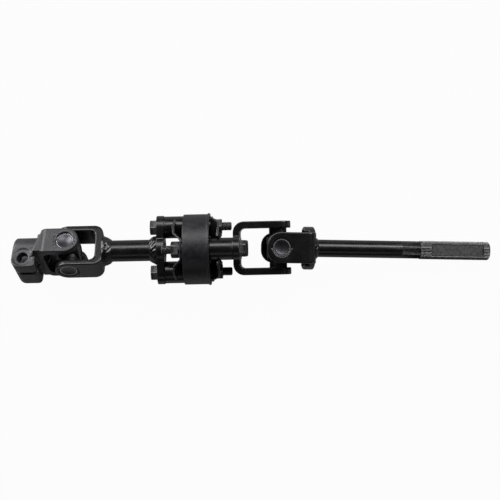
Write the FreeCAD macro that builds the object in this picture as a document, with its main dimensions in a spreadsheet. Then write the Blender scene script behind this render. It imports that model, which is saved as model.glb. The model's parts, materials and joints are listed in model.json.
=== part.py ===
import FreeCAD, Part
import math
import os
import re

import Sketcher
from FreeCAD import Placement, Rotation, Vector

# Intermediate steering shaft, lying on a flat surface as it comes to rest.
# X runs along the middle stretch from the clamp yoke to the splined end, Z is up.
# The origin is the middle of the footprint, on the surface. Sizes are in millimetres and degrees.
SIZES = {
    # How far a cut runs past the material, and the flat left between the two fillets of a round tip
    "overcut": 1.0,
    "tip_land": 0.1,
    # Flexible coupling: a rubber disc in a steel ring, between two crossed pairs of bolts
    "ring_radius": 32.0,
    "ring_wall": 1.8,
    "ring_width": 24.0,
    "ring_lip": 0.8,
    "ring_lip_width": 1.4,
    "ring_chamfer": 0.8,
    "rubber_width": 21.0,
    "rubber_core_radius": 6.5,
    "rubber_groove": 1.6,
    "rubber_groove_width": 2.6,
    "bolt_offset": 20.5,
    "bolt_radius": 4.0,
    "bolt_hole_clearance": 0.1,
    "bolt_tip_chamfer": 0.8,
    "hex_flats": 13.0,
    "hex_chamfer": 0.9,
    "head_height": 6.0,
    "nut_height": 8.0,
    "stud_reach": 31.4,
    "sleeve_radius": 10.0,
    "bush_radius": 8.5,
    "bush_shoulder_gap": 0.3,
    "stopper_gap": 0.8,
    "stopper_wall": 1.8,
    "stopper_radius": 29.7,
    "stopper_rise": 6.8,
    "stopper_flat": 9.5,
    "stopper_slope": 6.0,
    "stopper_ease": 0.6,
    "stopper_curl": 2.2,
    "notch_clearance": 1.6,
    # Flange, tube and the yoke welded to it
    "flange_gap": 29.8,
    "flange_wall": 7.0,
    "flange_ear_radius": 10.7,
    "flange_hub_radius": 15.0,
    "tube_radius": 9.75,
    "tube_wall": 2.5,
    "flange_bead_width": 7.0,
    "flange_bead_rise": 3.2,
    "bead_middle": 0.45,
    "bead_shoulder": 0.85,
    "bead_toe": 0.2,
    "left_cross_x": 117.0,
    "twist": 31.0,
    "weld_yoke_half_width": 12.3,
    "weld_yoke_outer": 20.6,
    "weld_yoke_wall": 5.5,
    "weld_yoke_reach": 24.3,
    "weld_yoke_base": 7.0,
    "weld_yoke_bend": 8.0,
    "weld_yoke_inner_bend": 5.0,
    "weld_yoke_hub_radius": 13.5,
    "weld_yoke_hub_rise": 2.0,
    "yoke_bead_width": 5.5,
    "yoke_bead_rise": 3.0,
    # Clamp yoke
    "clamp_length": 50.6,
    "clamp_barrel_radius": 13.5,
    "clamp_barrel_end": 27.0,
    "clamp_barrel_chamfer": 1.6,
    "clamp_bore_radius": 8.5,
    "clamp_ear_half_width": 12.3,
    "clamp_ear_outer": 22.4,
    "clamp_ear_wall": 6.4,
    "clamp_reach": 20.6,
    "clamp_neck_inset": 0.5,
    "clamp_flare": 20.5,
    "clamp_flare_skew": 3.5,
    "clamp_inner_bend": 6.5,
    "clamp_outer_bend": 6.0,
    "lug_reach": 22.0,
    "lug_front": 13.0,
    "lug_rear": 18.5,
    "lug_width": 22.6,
    "lug_corner": 8.0,
    "lug_inner_corner": 3.5,
    "slit_width": 2.5,
    "pinch_bolt_inset": 10.4,
    "pinch_bolt_offset": 12.0,
    "pinch_hole_radius": 5.1,
    "pinch_thread_radius": 4.25,
    "spot_face_radius": 9.0,
    "spot_face_depth": 0.8,
    # Both crosses and their needle bearings
    "trunnion_radius": 5.0,
    "trunnion_end_gap": 0.15,
    "trunnion_chamfer": 0.6,
    "needle_clearance": 0.03,
    "cup_radius": 8.0,
    "cup_wall": 1.0,
    "cup_floor": 1.6,
    "cup_dish_radius": 6.0,
    "cup_dish": 0.5,
    "cup_chamfer": 1.0,
    "cup_depth": 9.4,
    "needle_end_gap": 0.4,
    "seal_radius": 7.7,
    "seal_width": 1.4,
    "seal_lip_width": 0.55,
    "seal_lip_drop": 0.6,
    "seal_gap": 0.3,
    "cross_shoulder_radius": 7.2,
    "cross_hub_inset": 1.3,
    "cross_hub_width": 19.6,
    "cross_hub_rim": 1.5,
    "cross_hub_dish": 0.8,
    "cross_hub_chamfer": 0.4,
    "left_cup_end": 20.0,
    "right_cup_end": 22.3,
    "stake_radius": 1.3,
    "stake_depth": 0.7,
    "stake_inset": 0.5,
    # Coupling yoke
    "yoke_gap": 32.8,
    "right_cross_x": 73.3,
    "coupling_yoke_base": 6.4,
    "coupling_yoke_wall": 6.35,
    "coupling_yoke_outer": 24.35,
    "coupling_yoke_half_width": 13.0,
    "coupling_yoke_tip": 11.7,
    "coupling_yoke_tip_corner": 10.5,
    "coupling_yoke_bend": 10.0,
    "coupling_yoke_inner_bend": 4.0,
    "coupling_ear_half_width": 10.5,
    "coupling_ear_reach": 30.6,
    # Fork and splined shaft
    "fork_outer": 23.2,
    "fork_wall": 5.6,
    "fork_half_width": 14.0,
    "fork_tip": 12.6,
    "fork_tip_corner": 11.5,
    "fork_reach": 26.8,
    "fork_base": 5.6,
    "fork_bend": 8.5,
    "fork_inner_bend": 4.5,
    "fork_disc_radius": 19.6,
    "fork_rim_wall": 3.6,
    "fork_rim_height": 3.8,
    "fork_rim_half_width": 10.5,
    "shaft_radius": 8.0,
    "shaft_end": 197.5,
    "shaft_end_chamfer": 1.4,
    "spline_length": 66.0,
    "spline_radius": 8.5,
    "spline_depth": 0.75,
    "spline_teeth": 36,
    "spline_mouth_share": 0.62,
    "spline_root_share": 0.45,
    "spline_overcut": 0.05,
    "flat_start": 141.6,
    "flat_length": 49.4,
    "flat_height": 6.5,
    "shaft_bead_width": 4.2,
    "shaft_bead_rise": 2.6,
    "shaft_yaw": 2.1,
}

ROTATION_TO_Y = Rotation(Vector(0, 0, 1), 90)
ROTATION_TO_Z = Rotation(Vector(0, 1, 0), -90)
QUARTER_TURN = Rotation(Vector(1, 0, 0), 90)
NEAR = 0.01
SETTLE_STEPS = 24
MOST_DROOP = 30.0

doc = FreeCAD.newDocument("intermediate_steering_shaft")
sheet = doc.addObject("Spreadsheet::Sheet", "Sizes")
for row, (alias, size) in enumerate(SIZES.items(), start=1):
    sheet.set(f"A{row}", alias)
    sheet.set(f"B{row}", str(size))
    sheet.setAlias(f"B{row}", alias)
doc.recompute()

ALIAS = re.compile(r"\b(" + "|".join(SIZES) + r")\b")


def linked(expression):
    """Point every size named in an expression at its cell."""
    return ALIAS.sub(r"Sizes.\1", expression)


def number(expression):
    """Value of an expression of sizes."""
    return float(sheet.evalExpression(linked(expression)))


def bind(thing, **expressions):
    """Bind properties of an object to expressions of sizes."""
    for name, expression in expressions.items():
        thing.setExpression(name, linked(expression))


def shift_sideways(thing, offset):
    """Bind the place of an object along Y."""
    thing.setExpression("Placement.Base.y", linked(offset))


def mirrored_points(points):
    """Close an outline that is symmetric about its first coordinate's axis."""
    return points + [(along, f"-({across})") for along, across in reversed(points)]


def mirrored_halves(points):
    """Close a turned outline that is symmetric about the middle of its axis."""
    return points + [(f"-({along})", radius) for along, radius in reversed(points)]


def body_named(name):
    return doc.addObject("PartDesign::Body", name)


def sketch_on(body, name, role, offset="0"):
    """Sketch on an origin plane of its body, moved along the plane's normal."""
    sketch = body.newObject("Sketcher::SketchObject", name)
    plane = next(item for item in body.Origin.OriginFeatures if item.Role == role)
    sketch.AttachmentSupport = [(plane, "")]
    sketch.MapMode = "FlatFace"
    sketch.setExpression("AttachmentOffset.Base.z", linked(offset))
    return sketch


def draw_outline(sketch, points):
    """Closed polygon whose corners are pairs of expressions."""
    corners = [Vector(number(across), number(up), 0) for across, up in points]
    count = len(corners)
    for index, corner in enumerate(corners):
        sketch.addGeometry(Part.LineSegment(corner, corners[(index + 1) % count]))
    for index in range(count):
        sketch.addConstraint(Sketcher.Constraint("Coincident", index, 2, (index + 1) % count, 1))
    for index, (point, corner) in enumerate(zip(points, corners)):
        for kind, expression, value in zip(("DistanceX", "DistanceY"), point, corner):
            place = sketch.addConstraint(Sketcher.Constraint(kind, -1, 1, index, 1, value))
            sketch.setExpression(f"Constraints[{place}]", linked(expression))


def draw_circle(sketch, radius, across="0", up="0"):
    centre = Vector(number(across), number(up), 0)
    circle = sketch.addGeometry(Part.Circle(centre, Vector(0, 0, 1), number(radius)))
    for kind, expression, value in (("DistanceX", across, centre.x), ("DistanceY", up, centre.y)):
        place = sketch.addConstraint(Sketcher.Constraint(kind, -1, 1, circle, 3, value))
        sketch.setExpression(f"Constraints[{place}]", linked(expression))
    place = sketch.addConstraint(Sketcher.Constraint("Radius", circle, number(radius)))
    sketch.setExpression(f"Constraints[{place}]", linked(radius))


def grow(body, sketch, length, midplane=False):
    """Pad a sketch along its normal, or to both sides of its plane."""
    pad = body.newObject("PartDesign::Pad", f"{sketch.Name}_pad")
    pad.Profile = sketch
    pad.Midplane = midplane
    bind(pad, Length=length)
    doc.recompute()
    return pad


def cut(body, sketch, length, midplane=False, forward=True):
    """Pocket a sketch along its normal, against it, or to both sides of its plane."""
    before = body.Shape.Volume
    pocket = body.newObject("PartDesign::Pocket", f"{sketch.Name}_pocket")
    pocket.Profile = sketch
    pocket.Midplane = midplane
    pocket.Reversed = forward
    bind(pocket, Length=length)
    doc.recompute()
    if body.Shape.Volume >= before:
        raise RuntimeError(f"{pocket.Name} cuts nothing")
    return pocket


def straight_edges(shape, direction, wanted):
    """Names of the straight edges along a direction whose middle passes a test."""
    names = []
    for index, edge in enumerate(shape.Edges, start=1):
        if not isinstance(edge.Curve, Part.Line):
            continue
        along = edge.tangentAt(edge.FirstParameter)
        if abs(along.dot(direction)) > 0.999 and wanted(edge.CenterOfMass):
            names.append(f"Edge{index}")
    return names


def round_edges(body, name, radius, direction, wanted):
    """Fillet the straight edges that run along a direction and pass a test."""
    base = body.Tip
    edges = straight_edges(base.Shape, direction, wanted)
    if not edges:
        raise RuntimeError(f"{name} finds no edge")
    fillet = body.newObject("PartDesign::Fillet", name)
    fillet.Base = (base, edges)
    bind(fillet, Radius=radius)
    doc.recompute()


def bevel_rim(body, name, size, along):
    """Chamfer the round rim of a body at a place along X."""
    base = body.Tip
    place = number(along)
    rims = [f"Edge{index}" for index, edge in enumerate(base.Shape.Edges, start=1)
            if isinstance(edge.Curve, Part.Circle) and abs(edge.CenterOfMass.x - place) < NEAR]
    chamfer = body.newObject("PartDesign::Chamfer", name)
    chamfer.Base = (base, rims)
    bind(chamfer, Size=size)
    doc.recompute()


def turned(name, points):
    """Body of revolution about X, from (position, radius) corners."""
    body = body_named(name)
    sketch = sketch_on(body, f"{name}_profile", "XZ_Plane")
    draw_outline(sketch, points)
    revolution = body.newObject("PartDesign::Revolution", f"{name}_turning")
    revolution.Profile = sketch
    revolution.ReferenceAxis = (sketch, ["H_Axis"])
    revolution.Angle = 360
    doc.recompute()
    return body


def mirrored(source, normal):
    mirror = doc.addObject("Part::Mirroring", f"{source.Name}_mirror")
    mirror.Source = source
    mirror.Normal = normal
    return mirror


def group(name, members, placement=None):
    """Separate solids that share one node."""
    compound = doc.addObject("Part::Compound", name)
    compound.Links = members
    if placement:
        compound.Placement = placement
    doc.recompute()
    return compound


def joined(name, members):
    fusion = doc.addObject("Part::MultiFuse", name)
    fusion.Shapes = members
    doc.recompute()
    return fusion


def cylinder(name, radius, length, start=("0", "0", "0"), rotation=ROTATION_TO_Z.inverted()):
    """Cylinder whose axis is X unless another rotation is given."""
    solid = doc.addObject("Part::Cylinder", name)
    solid.Placement = Placement(Vector(), rotation)
    bind(solid, Radius=radius, Height=length)
    for axis, expression in zip("xyz", start):
        solid.setExpression(f"Placement.Base.{axis}", linked(expression))
    return solid


def box(name, corner, size):
    solid = doc.addObject("Part::Box", name)
    bind(solid, Length=size[0], Width=size[1], Height=size[2])
    for axis, expression in zip("xyz", corner):
        solid.setExpression(f"Placement.Base.{axis}", linked(expression))
    return solid


def hexagon(name, length, start, both_ends):
    """Hexagonal prism along X with its corners turned off at one end or both."""
    corner = "hex_flats / sqrt(3)"
    faced = f"{corner} - 2 * hex_chamfer * (2 / sqrt(3) - 1) - hex_chamfer / 2"
    prism = doc.addObject("Part::Prism", f"{name}_prism")
    prism.Polygon = 6
    prism.Placement = Placement(Vector(), Rotation(Vector(0, 1, 0), 90))
    bind(prism, Circumradius=corner, Height=length)
    prism.setExpression("Placement.Base.x", linked(start))
    first = [(start, faced), (f"{start} + hex_chamfer / 2", corner)]
    if not both_ends:
        first = [(start, corner)]
    end = f"{start} + {length}"
    outline = [(start, "0")] + first + [(f"{end} - hex_chamfer / 2", corner), (end, faced), (end, "0")]
    envelope = turned(f"{name}_envelope", outline)
    common = doc.addObject("Part::Common", name)
    common.Base = prism
    common.Tool = envelope
    doc.recompute()
    return common


def make_ring():
    """Pressed steel ring round the rubber, with a rolled lip on its right edge."""
    inner = "ring_radius - ring_wall"
    return turned("coupling_ring", [
        ("-ring_width / 2", inner),
        ("-ring_width / 2", "ring_radius - ring_chamfer"),
        ("-ring_width / 2 + ring_chamfer", "ring_radius"),
        ("ring_width / 2 - ring_lip_width - ring_lip", "ring_radius"),
        ("ring_width / 2 - ring_lip_width", "ring_radius + ring_lip"),
        ("ring_width / 2", "ring_radius + ring_lip"),
        ("ring_width / 2", inner),
    ])


def make_rubber():
    """Rubber disc with a moulded groove in each face and a hole for each of four bushes."""
    outer = "ring_radius - ring_wall"
    face = "rubber_width / 2"
    disc = turned("rubber_blank", mirrored_halves([
        (face, "rubber_core_radius"),
        (face, f"{outer} - rubber_groove_width"),
        (f"{face} - rubber_groove", f"{outer} - rubber_groove_width / 2"),
        (face, outer),
    ]))
    holes = []
    for name, across, up in (("top", "bolt_offset", "0"), ("bottom", "-bolt_offset", "0"),
                             ("front", "0", "bolt_offset"), ("rear", "0", "-bolt_offset")):
        start = (f"-{face} - overcut", across, up)
        holes.append(cylinder(f"rubber_hole_{name}", "bush_radius", "rubber_width + 2 * overcut", start))
    rubber = doc.addObject("Part::Cut", "rubber_disc")
    rubber.Base = disc
    rubber.Tool = joined("rubber_holes", holes)
    doc.recompute()
    return rubber


def make_bolts(name, head_face):
    """Pair of hexagon bolts along X, with the heads on the left and the bolts apart in Y."""
    head = hexagon(f"{name}_head", "head_height", f"-{head_face} - head_height", both_ends=False)
    shift_sideways(head, "bolt_offset")
    shank = turned(f"{name}_shank", [
        (f"-{head_face} - head_height / 2", "0"),
        (f"-{head_face} - head_height / 2", "bolt_radius"),
        ("stud_reach - bolt_tip_chamfer", "bolt_radius"),
        ("stud_reach", "bolt_radius - bolt_tip_chamfer"),
        ("stud_reach", "0"),
    ])
    shift_sideways(shank, "bolt_offset")
    bolt = joined(f"{name}_upper", [head, shank])
    bolt.Refine = True
    return group(name, [bolt, mirrored(bolt, Vector(0, 1, 0))])


def make_nuts(name):
    """Pair of hexagon nuts seated on the stopper plate."""
    start = "ring_width / 2 + stopper_gap + stopper_wall"
    blank = hexagon(f"{name}_blank", "nut_height", start, both_ends=True)
    shift_sideways(blank, "bolt_offset")
    thread = cylinder(f"{name}_thread", "bolt_radius", "nut_height + 2 * overcut",
                      (f"{start} - overcut", "bolt_offset", "0"))
    nut = doc.addObject("Part::Cut", f"{name}_upper")
    nut.Base = blank
    nut.Tool = thread
    return group(name, [nut, mirrored(nut, Vector(0, 1, 0))])


def make_sleeves(name, plate_gap):
    """Pair of spacer sleeves, narrower where they pass through the rubber as bushes."""
    bore = "bolt_radius + bolt_hole_clearance"
    sleeve = turned(f"{name}_upper", [
        (f"-{plate_gap}", bore),
        (f"-{plate_gap}", "sleeve_radius"),
        ("-ring_width / 2 - bush_shoulder_gap", "sleeve_radius"),
        ("-ring_width / 2 - bush_shoulder_gap", "bush_radius"),
        ("ring_width / 2 + stopper_gap", "bush_radius"),
        ("ring_width / 2 + stopper_gap", bore),
    ])
    shift_sideways(sleeve, "bolt_offset")
    return group(name, [sleeve, mirrored(sleeve, Vector(0, 1, 0))])


def make_stopper(name):
    """Round stamped plate under the nuts, cranked clear of the ring and notched round two sleeves."""
    flat = number("stopper_flat")
    slope = number("stopper_slope")
    reach = number("stopper_radius + 2 * overcut")
    seat = number("ring_width / 2 + stopper_gap")
    middle = seat + number("stopper_wall / 2")
    crank = middle + number("stopper_rise")
    tip = crank - number("stopper_curl")
    crest = flat + slope + (reach - flat - slope) / 3
    bend = crank - number("stopper_ease")
    upper = [(middle, flat), (bend, flat + slope), (crank, crest), (tip, reach)]
    centre_line = [Vector(along, 0, -up) for along, up in reversed(upper)]
    centre_line += [Vector(along, 0, up) for along, up in upper]
    wall = number("stopper_wall")
    strip = Part.makePolygon([point - Vector(wall / 2, 0, 0) for point in centre_line])
    section = strip.makeOffset2D(wall, 0, True, True)
    if section.BoundBox.XMin < seat - wall / 2:
        section = strip.makeOffset2D(-wall, 0, True, True)
    section.translate(Vector(0, -reach, 0))
    plate = section.extrude(Vector(0, 2 * reach, 0))
    outline = Part.makeCylinder(number("stopper_radius"), 4 * crank, Vector(-crank, 0, 0), Vector(1, 0, 0))
    plate = plate.common(outline)
    notch_radius = number("sleeve_radius + notch_clearance")
    offset = number("bolt_offset")
    hole_radius = number("bolt_radius + bolt_hole_clearance")
    for side in (-1, 1):
        round_end = Part.makeCylinder(notch_radius, 3 * crank, Vector(0, 0, side * offset), Vector(1, 0, 0))
        mouth = Part.makeBox(3 * crank, 2 * notch_radius, reach, Vector(0, -notch_radius, 0))
        mouth.translate(Vector(0, 0, offset if side > 0 else -offset - reach))
        hole = Part.makeCylinder(hole_radius, 3 * crank, Vector(0, side * offset, 0), Vector(1, 0, 0))
        plate = plate.cut(round_end).cut(mouth).cut(hole)
    stopper = doc.addObject("Part::Feature", name)
    stopper.Shape = plate.Solids[0]
    return stopper


def make_flange():
    """Flange plate: a hub with two bolt ears, bored for the tube."""
    start = "-flange_gap - flange_wall"
    reach = "2 * bolt_offset"
    hub = cylinder("flange_hub", "flange_hub_radius", "flange_wall", (start, "0", "0"))
    ears = [
        cylinder(f"flange_ear_{side}", "flange_ear_radius", "flange_wall", (start, f"{sign}bolt_offset", "0"))
        for side, sign in (("upper", ""), ("lower", "-"))
    ]
    bar = box("flange_bar", (start, "-bolt_offset", "-flange_ear_radius"),
              ("flange_wall", reach, "2 * flange_ear_radius"))
    blank = joined("flange_blank", [hub, bar] + ears)
    blank.Refine = True
    hole_start = f"{start} - overcut"
    hole_length = "flange_wall + 2 * overcut"
    holes = [
        cylinder(f"flange_hole_{side}", "bolt_radius + bolt_hole_clearance", hole_length,
                 (hole_start, f"{sign}bolt_offset", "0"))
        for side, sign in (("upper", ""), ("lower", "-"))
    ]
    holes.append(cylinder("flange_bore", "tube_radius", hole_length, (hole_start, "0", "0")))
    plate = doc.addObject("Part::Cut", "flange_plate")
    plate.Base = blank
    plate.Tool = joined("flange_holes", holes)
    doc.recompute()
    return plate


def make_tube():
    """Tube from the inner face of the welded yoke to the inner face of the flange."""
    left = "weld_yoke_reach - left_cross_x"
    inner = "tube_radius - tube_wall"
    return turned("drive_tube", [
        (left, inner),
        (left, "tube_radius"),
        ("-flange_gap", "tube_radius"),
        ("-flange_gap", inner),
    ])


def make_bead(name, root, toe, radius, rise):
    """Weld bead round a tube or shaft, tall at its root and thin at its toe."""
    middle = f"({root}) + (({toe}) - ({root})) * bead_middle"
    return turned(name, [
        (root, radius),
        (root, f"{radius} + {rise}"),
        (middle, f"{radius} + {rise} * bead_shoulder"),
        (toe, f"{radius} + {rise} * bead_toe"),
        (toe, radius),
    ])


def make_weld_yoke():
    """Bent yoke welded to the tube: arms along Y, base towards +X, hub round the tube."""
    body = body_named("weld_yoke")
    outer = "weld_yoke_outer"
    inner = "weld_yoke_outer - weld_yoke_wall"
    tip = "-weld_yoke_half_width - tip_land"
    back = "weld_yoke_reach + weld_yoke_base"
    profile = sketch_on(body, "weld_yoke_profile", "XY_Plane")
    draw_outline(profile, mirrored_points([
        (back, outer),
        (tip, outer),
        (tip, inner),
        ("weld_yoke_reach", inner),
    ]))
    grow(body, profile, "2 * weld_yoke_half_width", midplane=True)
    z_axis = Vector(0, 0, 1)
    reach = number("weld_yoke_reach")
    round_edges(body, "weld_yoke_outer_bends", "weld_yoke_bend", z_axis,
                lambda at: at.x > reach + NEAR)
    round_edges(body, "weld_yoke_inner_bends", "weld_yoke_inner_bend", z_axis,
                lambda at: abs(at.x - reach) < NEAR)
    round_edges(body, "weld_yoke_tips", "weld_yoke_half_width - tip_land / 2", Vector(0, 1, 0),
                lambda at: at.x < 0)
    hub = sketch_on(body, "weld_yoke_hub", "YZ_Plane", back)
    draw_circle(hub, "weld_yoke_hub_radius")
    grow(body, hub, "weld_yoke_hub_rise")
    bore = sketch_on(body, "weld_yoke_bore", "YZ_Plane")
    draw_circle(bore, "tube_radius")
    cut(body, bore, f"{back} + weld_yoke_hub_rise + overcut")
    bearing = sketch_on(body, "weld_yoke_bearing_bore", "XZ_Plane")
    draw_circle(bearing, "cup_radius")
    cut(body, bearing, "2 * (weld_yoke_outer + overcut)", midplane=True)
    stake(body, "weld_yoke", "XZ_Plane", outer)
    return body


def stake(body, name, role, outer):
    """Two punched marks beside each bearing bore that hold the cup in its arm."""
    sides = [("far", f"-{outer}", True), ("near", f"{outer} - stake_depth", True)]
    for side, offset, forward in sides:
        for sign in ("", "-"):
            label = "right" if sign else "left"
            mark = sketch_on(body, f"{name}_stake_{side}_{label}", role, offset)
            draw_circle(mark, "stake_radius", f"{sign}(cup_radius + stake_inset)")
            cut(body, mark, "stake_depth", forward=forward)


def make_clamp_yoke():
    """Forged clamp yoke: ears along Z, split barrel towards -X, lugs towards -Y."""
    body = body_named("clamp_yoke")
    outer = "clamp_ear_outer"
    inner = "clamp_ear_outer - clamp_ear_wall"
    tip = "clamp_ear_half_width + tip_land"
    neck = "clamp_barrel_radius - clamp_neck_inset"
    profile = sketch_on(body, "clamp_yoke_profile", "XZ_Plane")
    draw_outline(profile, mirrored_points([
        ("-clamp_barrel_end - 2 * overcut", neck),
        ("-clamp_flare", outer),
        (tip, outer),
        (tip, inner),
        ("-clamp_reach", inner),
    ]))
    grow(body, profile, "2 * clamp_ear_half_width", midplane=True)
    y_axis = Vector(0, 1, 0)
    reach = number("clamp_reach")
    flare = number("clamp_flare")
    round_edges(body, "clamp_inner_bends", "clamp_inner_bend", y_axis,
                lambda at: abs(at.x + reach) < NEAR)
    round_edges(body, "clamp_outer_bends", "clamp_outer_bend", y_axis,
                lambda at: abs(at.x + flare) < NEAR and abs(at.z) > number(inner))
    round_edges(body, "clamp_ear_tips", "clamp_ear_half_width - tip_land / 2", Vector(0, 0, 1),
                lambda at: at.x > 0)
    web_end = "-clamp_flare - clamp_outer_bend"
    side = "clamp_ear_half_width + overcut"
    for name, offset, forward in (("front", neck, True), ("rear", f"-({neck})", False)):
        shoulder = sketch_on(body, f"clamp_shoulder_{name}", "XY_Plane", offset)
        draw_outline(shoulder, [
            ("-clamp_length", side),
            (f"{web_end} + clamp_flare_skew", side),
            (f"{web_end} - clamp_flare_skew / 2", f"-({side})"),
            ("-clamp_length", f"-({side})"),
        ])
        cut(body, shoulder, outer, forward=forward)
    barrel = sketch_on(body, "clamp_barrel", "YZ_Plane", "-clamp_length")
    draw_circle(barrel, "clamp_barrel_radius")
    grow(body, barrel, "clamp_length - clamp_barrel_end")
    bevel_rim(body, "clamp_barrel_rim", "clamp_barrel_chamfer", "-clamp_length")
    lug = sketch_on(body, "clamp_lugs", "XY_Plane", "-lug_rear")
    draw_outline(lug, [
        ("-clamp_length", "0"),
        ("-clamp_length", "-lug_reach"),
        ("-clamp_length + lug_width", "-lug_reach"),
        ("-clamp_length + lug_width", "0"),
    ])
    grow(body, lug, "lug_rear + lug_front")
    lug_reach = number("lug_reach")
    lug_middle = number("lug_width / 2 - clamp_length")
    round_edges(body, "clamp_lug_end_corners", "lug_corner", Vector(0, 0, 1),
                lambda at: abs(at.y + lug_reach) < NEAR and at.x < lug_middle)
    round_edges(body, "clamp_lug_inner_corners", "lug_inner_corner", Vector(0, 0, 1),
                lambda at: abs(at.y + lug_reach) < NEAR and at.x > lug_middle)
    bore = sketch_on(body, "clamp_bore", "YZ_Plane", "-clamp_length - overcut")
    draw_circle(bore, "clamp_bore_radius")
    cut(body, bore, "clamp_length + overcut")
    slit = sketch_on(body, "clamp_slit", "XY_Plane")
    draw_outline(slit, [
        ("-clamp_length - overcut", "0"),
        ("-clamp_length - overcut", "-lug_reach - overcut"),
        ("-clamp_barrel_end", "-lug_reach - overcut"),
        ("-clamp_barrel_end", "0"),
    ])
    cut(body, slit, "slit_width", midplane=True)
    for name, radius, start, length in (
        ("pinch_hole", "pinch_hole_radius", "0", "lug_front + overcut"),
        ("pinch_thread", "pinch_thread_radius", "-lug_rear - overcut", "lug_rear + overcut"),
        ("spot_face", "spot_face_radius", "lug_front - spot_face_depth", "spot_face_depth + overcut"),
    ):
        hole = sketch_on(body, name, "XY_Plane", start)
        draw_circle(hole, radius, "pinch_bolt_inset - clamp_length", "-pinch_bolt_offset")
        cut(body, hole, length)
    bearing = sketch_on(body, "clamp_bearing_bore", "XY_Plane")
    draw_circle(bearing, "cup_radius")
    cut(body, bearing, "2 * (clamp_ear_outer + overcut)", midplane=True)
    stake(body, "clamp_yoke", "XY_Plane", outer)
    return body


def make_coupling_yoke():
    """Bent yoke bolted to the coupling: arms along Y, two bolt ears along Z, base towards -X."""
    body = body_named("coupling_yoke")
    outer = "coupling_yoke_outer"
    inner = "coupling_yoke_outer - coupling_yoke_wall"
    back = "yoke_gap - right_cross_x"
    tip = "coupling_yoke_tip"
    profile = sketch_on(body, "coupling_yoke_profile", "XY_Plane")
    draw_outline(profile, mirrored_points([
        (back, outer),
        (tip, outer),
        (tip, inner),
        (f"{back} + coupling_yoke_base", inner),
    ]))
    grow(body, profile, "2 * coupling_yoke_half_width", midplane=True)
    z_axis = Vector(0, 0, 1)
    face = number(back)
    round_edges(body, "coupling_yoke_outer_bends", "coupling_yoke_bend", z_axis,
                lambda at: abs(at.x - face) < NEAR)
    seat = number(f"{back} + coupling_yoke_base")
    round_edges(body, "coupling_yoke_inner_bends", "coupling_yoke_inner_bend", z_axis,
                lambda at: abs(at.x - seat) < NEAR)
    round_edges(body, "coupling_yoke_tips", "coupling_yoke_tip_corner", Vector(0, 1, 0),
                lambda at: at.x > 0)
    ears = sketch_on(body, "coupling_yoke_ears", "YZ_Plane", back)
    draw_outline(ears, [
        ("coupling_ear_half_width", "coupling_ear_reach"),
        ("coupling_ear_half_width", "-coupling_ear_reach"),
        ("-coupling_ear_half_width", "-coupling_ear_reach"),
        ("-coupling_ear_half_width", "coupling_ear_reach"),
    ])
    grow(body, ears, "coupling_yoke_base")
    ear_reach = number("coupling_ear_reach")
    round_edges(body, "coupling_ear_corners", "coupling_ear_half_width - tip_land / 2", Vector(1, 0, 0),
                lambda at: abs(abs(at.z) - ear_reach) < NEAR)
    for label, up in (("front", "bolt_offset"), ("rear", "-bolt_offset")):
        hole = sketch_on(body, f"coupling_yoke_hole_{label}", "YZ_Plane", f"{back} - overcut")
        draw_circle(hole, "bolt_radius + bolt_hole_clearance", "0", up)
        cut(body, hole, "coupling_yoke_base + 2 * overcut")
    bearing = sketch_on(body, "coupling_yoke_bearing_bore", "XZ_Plane")
    draw_circle(bearing, "cup_radius")
    cut(body, bearing, "2 * (coupling_yoke_outer + overcut)", midplane=True)
    stake(body, "coupling_yoke", "XZ_Plane", outer)
    return body


def make_fork():
    """Pressed fork on the splined shaft: arms along Z and a dished round base."""
    body = body_named("shaft_fork")
    back = "fork_reach + fork_base"
    inner = "fork_outer - fork_wall"
    disc = sketch_on(body, "fork_disc", "YZ_Plane", "fork_reach - fork_rim_height")
    draw_circle(disc, "fork_disc_radius")
    grow(body, disc, "fork_rim_height + fork_base")
    rim_start = "fork_reach - fork_rim_height - overcut"
    rim_cut = "fork_rim_height + overcut"
    side = "fork_disc_radius + overcut"
    dish = sketch_on(body, "fork_dish", "YZ_Plane", rim_start)
    draw_circle(dish, "fork_disc_radius - fork_rim_wall")
    cut(body, dish, rim_cut)
    for label, sign in (("front", ""), ("rear", "-")):
        window = sketch_on(body, f"fork_rim_{label}", "YZ_Plane", rim_start)
        draw_outline(window, [
            (side, f"{sign}fork_rim_half_width"),
            (side, f"{sign}({side})"),
            (f"-({side})", f"{sign}({side})"),
            (f"-({side})", f"{sign}fork_rim_half_width"),
        ])
        cut(body, window, rim_cut)
    profile = sketch_on(body, "fork_profile", "XZ_Plane")
    draw_outline(profile, mirrored_points([
        (back, "fork_outer"),
        ("-fork_tip", "fork_outer"),
        ("-fork_tip", inner),
        ("fork_reach", inner),
    ]))
    grow(body, profile, "2 * fork_half_width", midplane=True)
    y_axis = Vector(0, 1, 0)
    reach = number("fork_reach")
    span = number("fork_outer")
    end = number(back)
    round_edges(body, "fork_outer_bends", "fork_bend", y_axis,
                lambda at: abs(at.x - end) < NEAR and abs(abs(at.z) - span) < NEAR)
    round_edges(body, "fork_inner_bends", "fork_inner_bend", y_axis,
                lambda at: abs(at.x - reach) < NEAR and abs(abs(at.z) - number(inner)) < NEAR)
    round_edges(body, "fork_tips", "fork_tip_corner", Vector(0, 0, 1),
                lambda at: at.x < 0)
    bore = sketch_on(body, "fork_bore", "YZ_Plane", "fork_reach - overcut")
    draw_circle(bore, "shaft_radius")
    cut(body, bore, "fork_base + 2 * overcut")
    bearing = sketch_on(body, "fork_bearing_bore", "XY_Plane")
    draw_circle(bearing, "cup_radius")
    cut(body, bearing, "2 * (fork_outer + overcut)", midplane=True)
    stake(body, "shaft_fork", "XY_Plane", "fork_outer")
    return body


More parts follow.
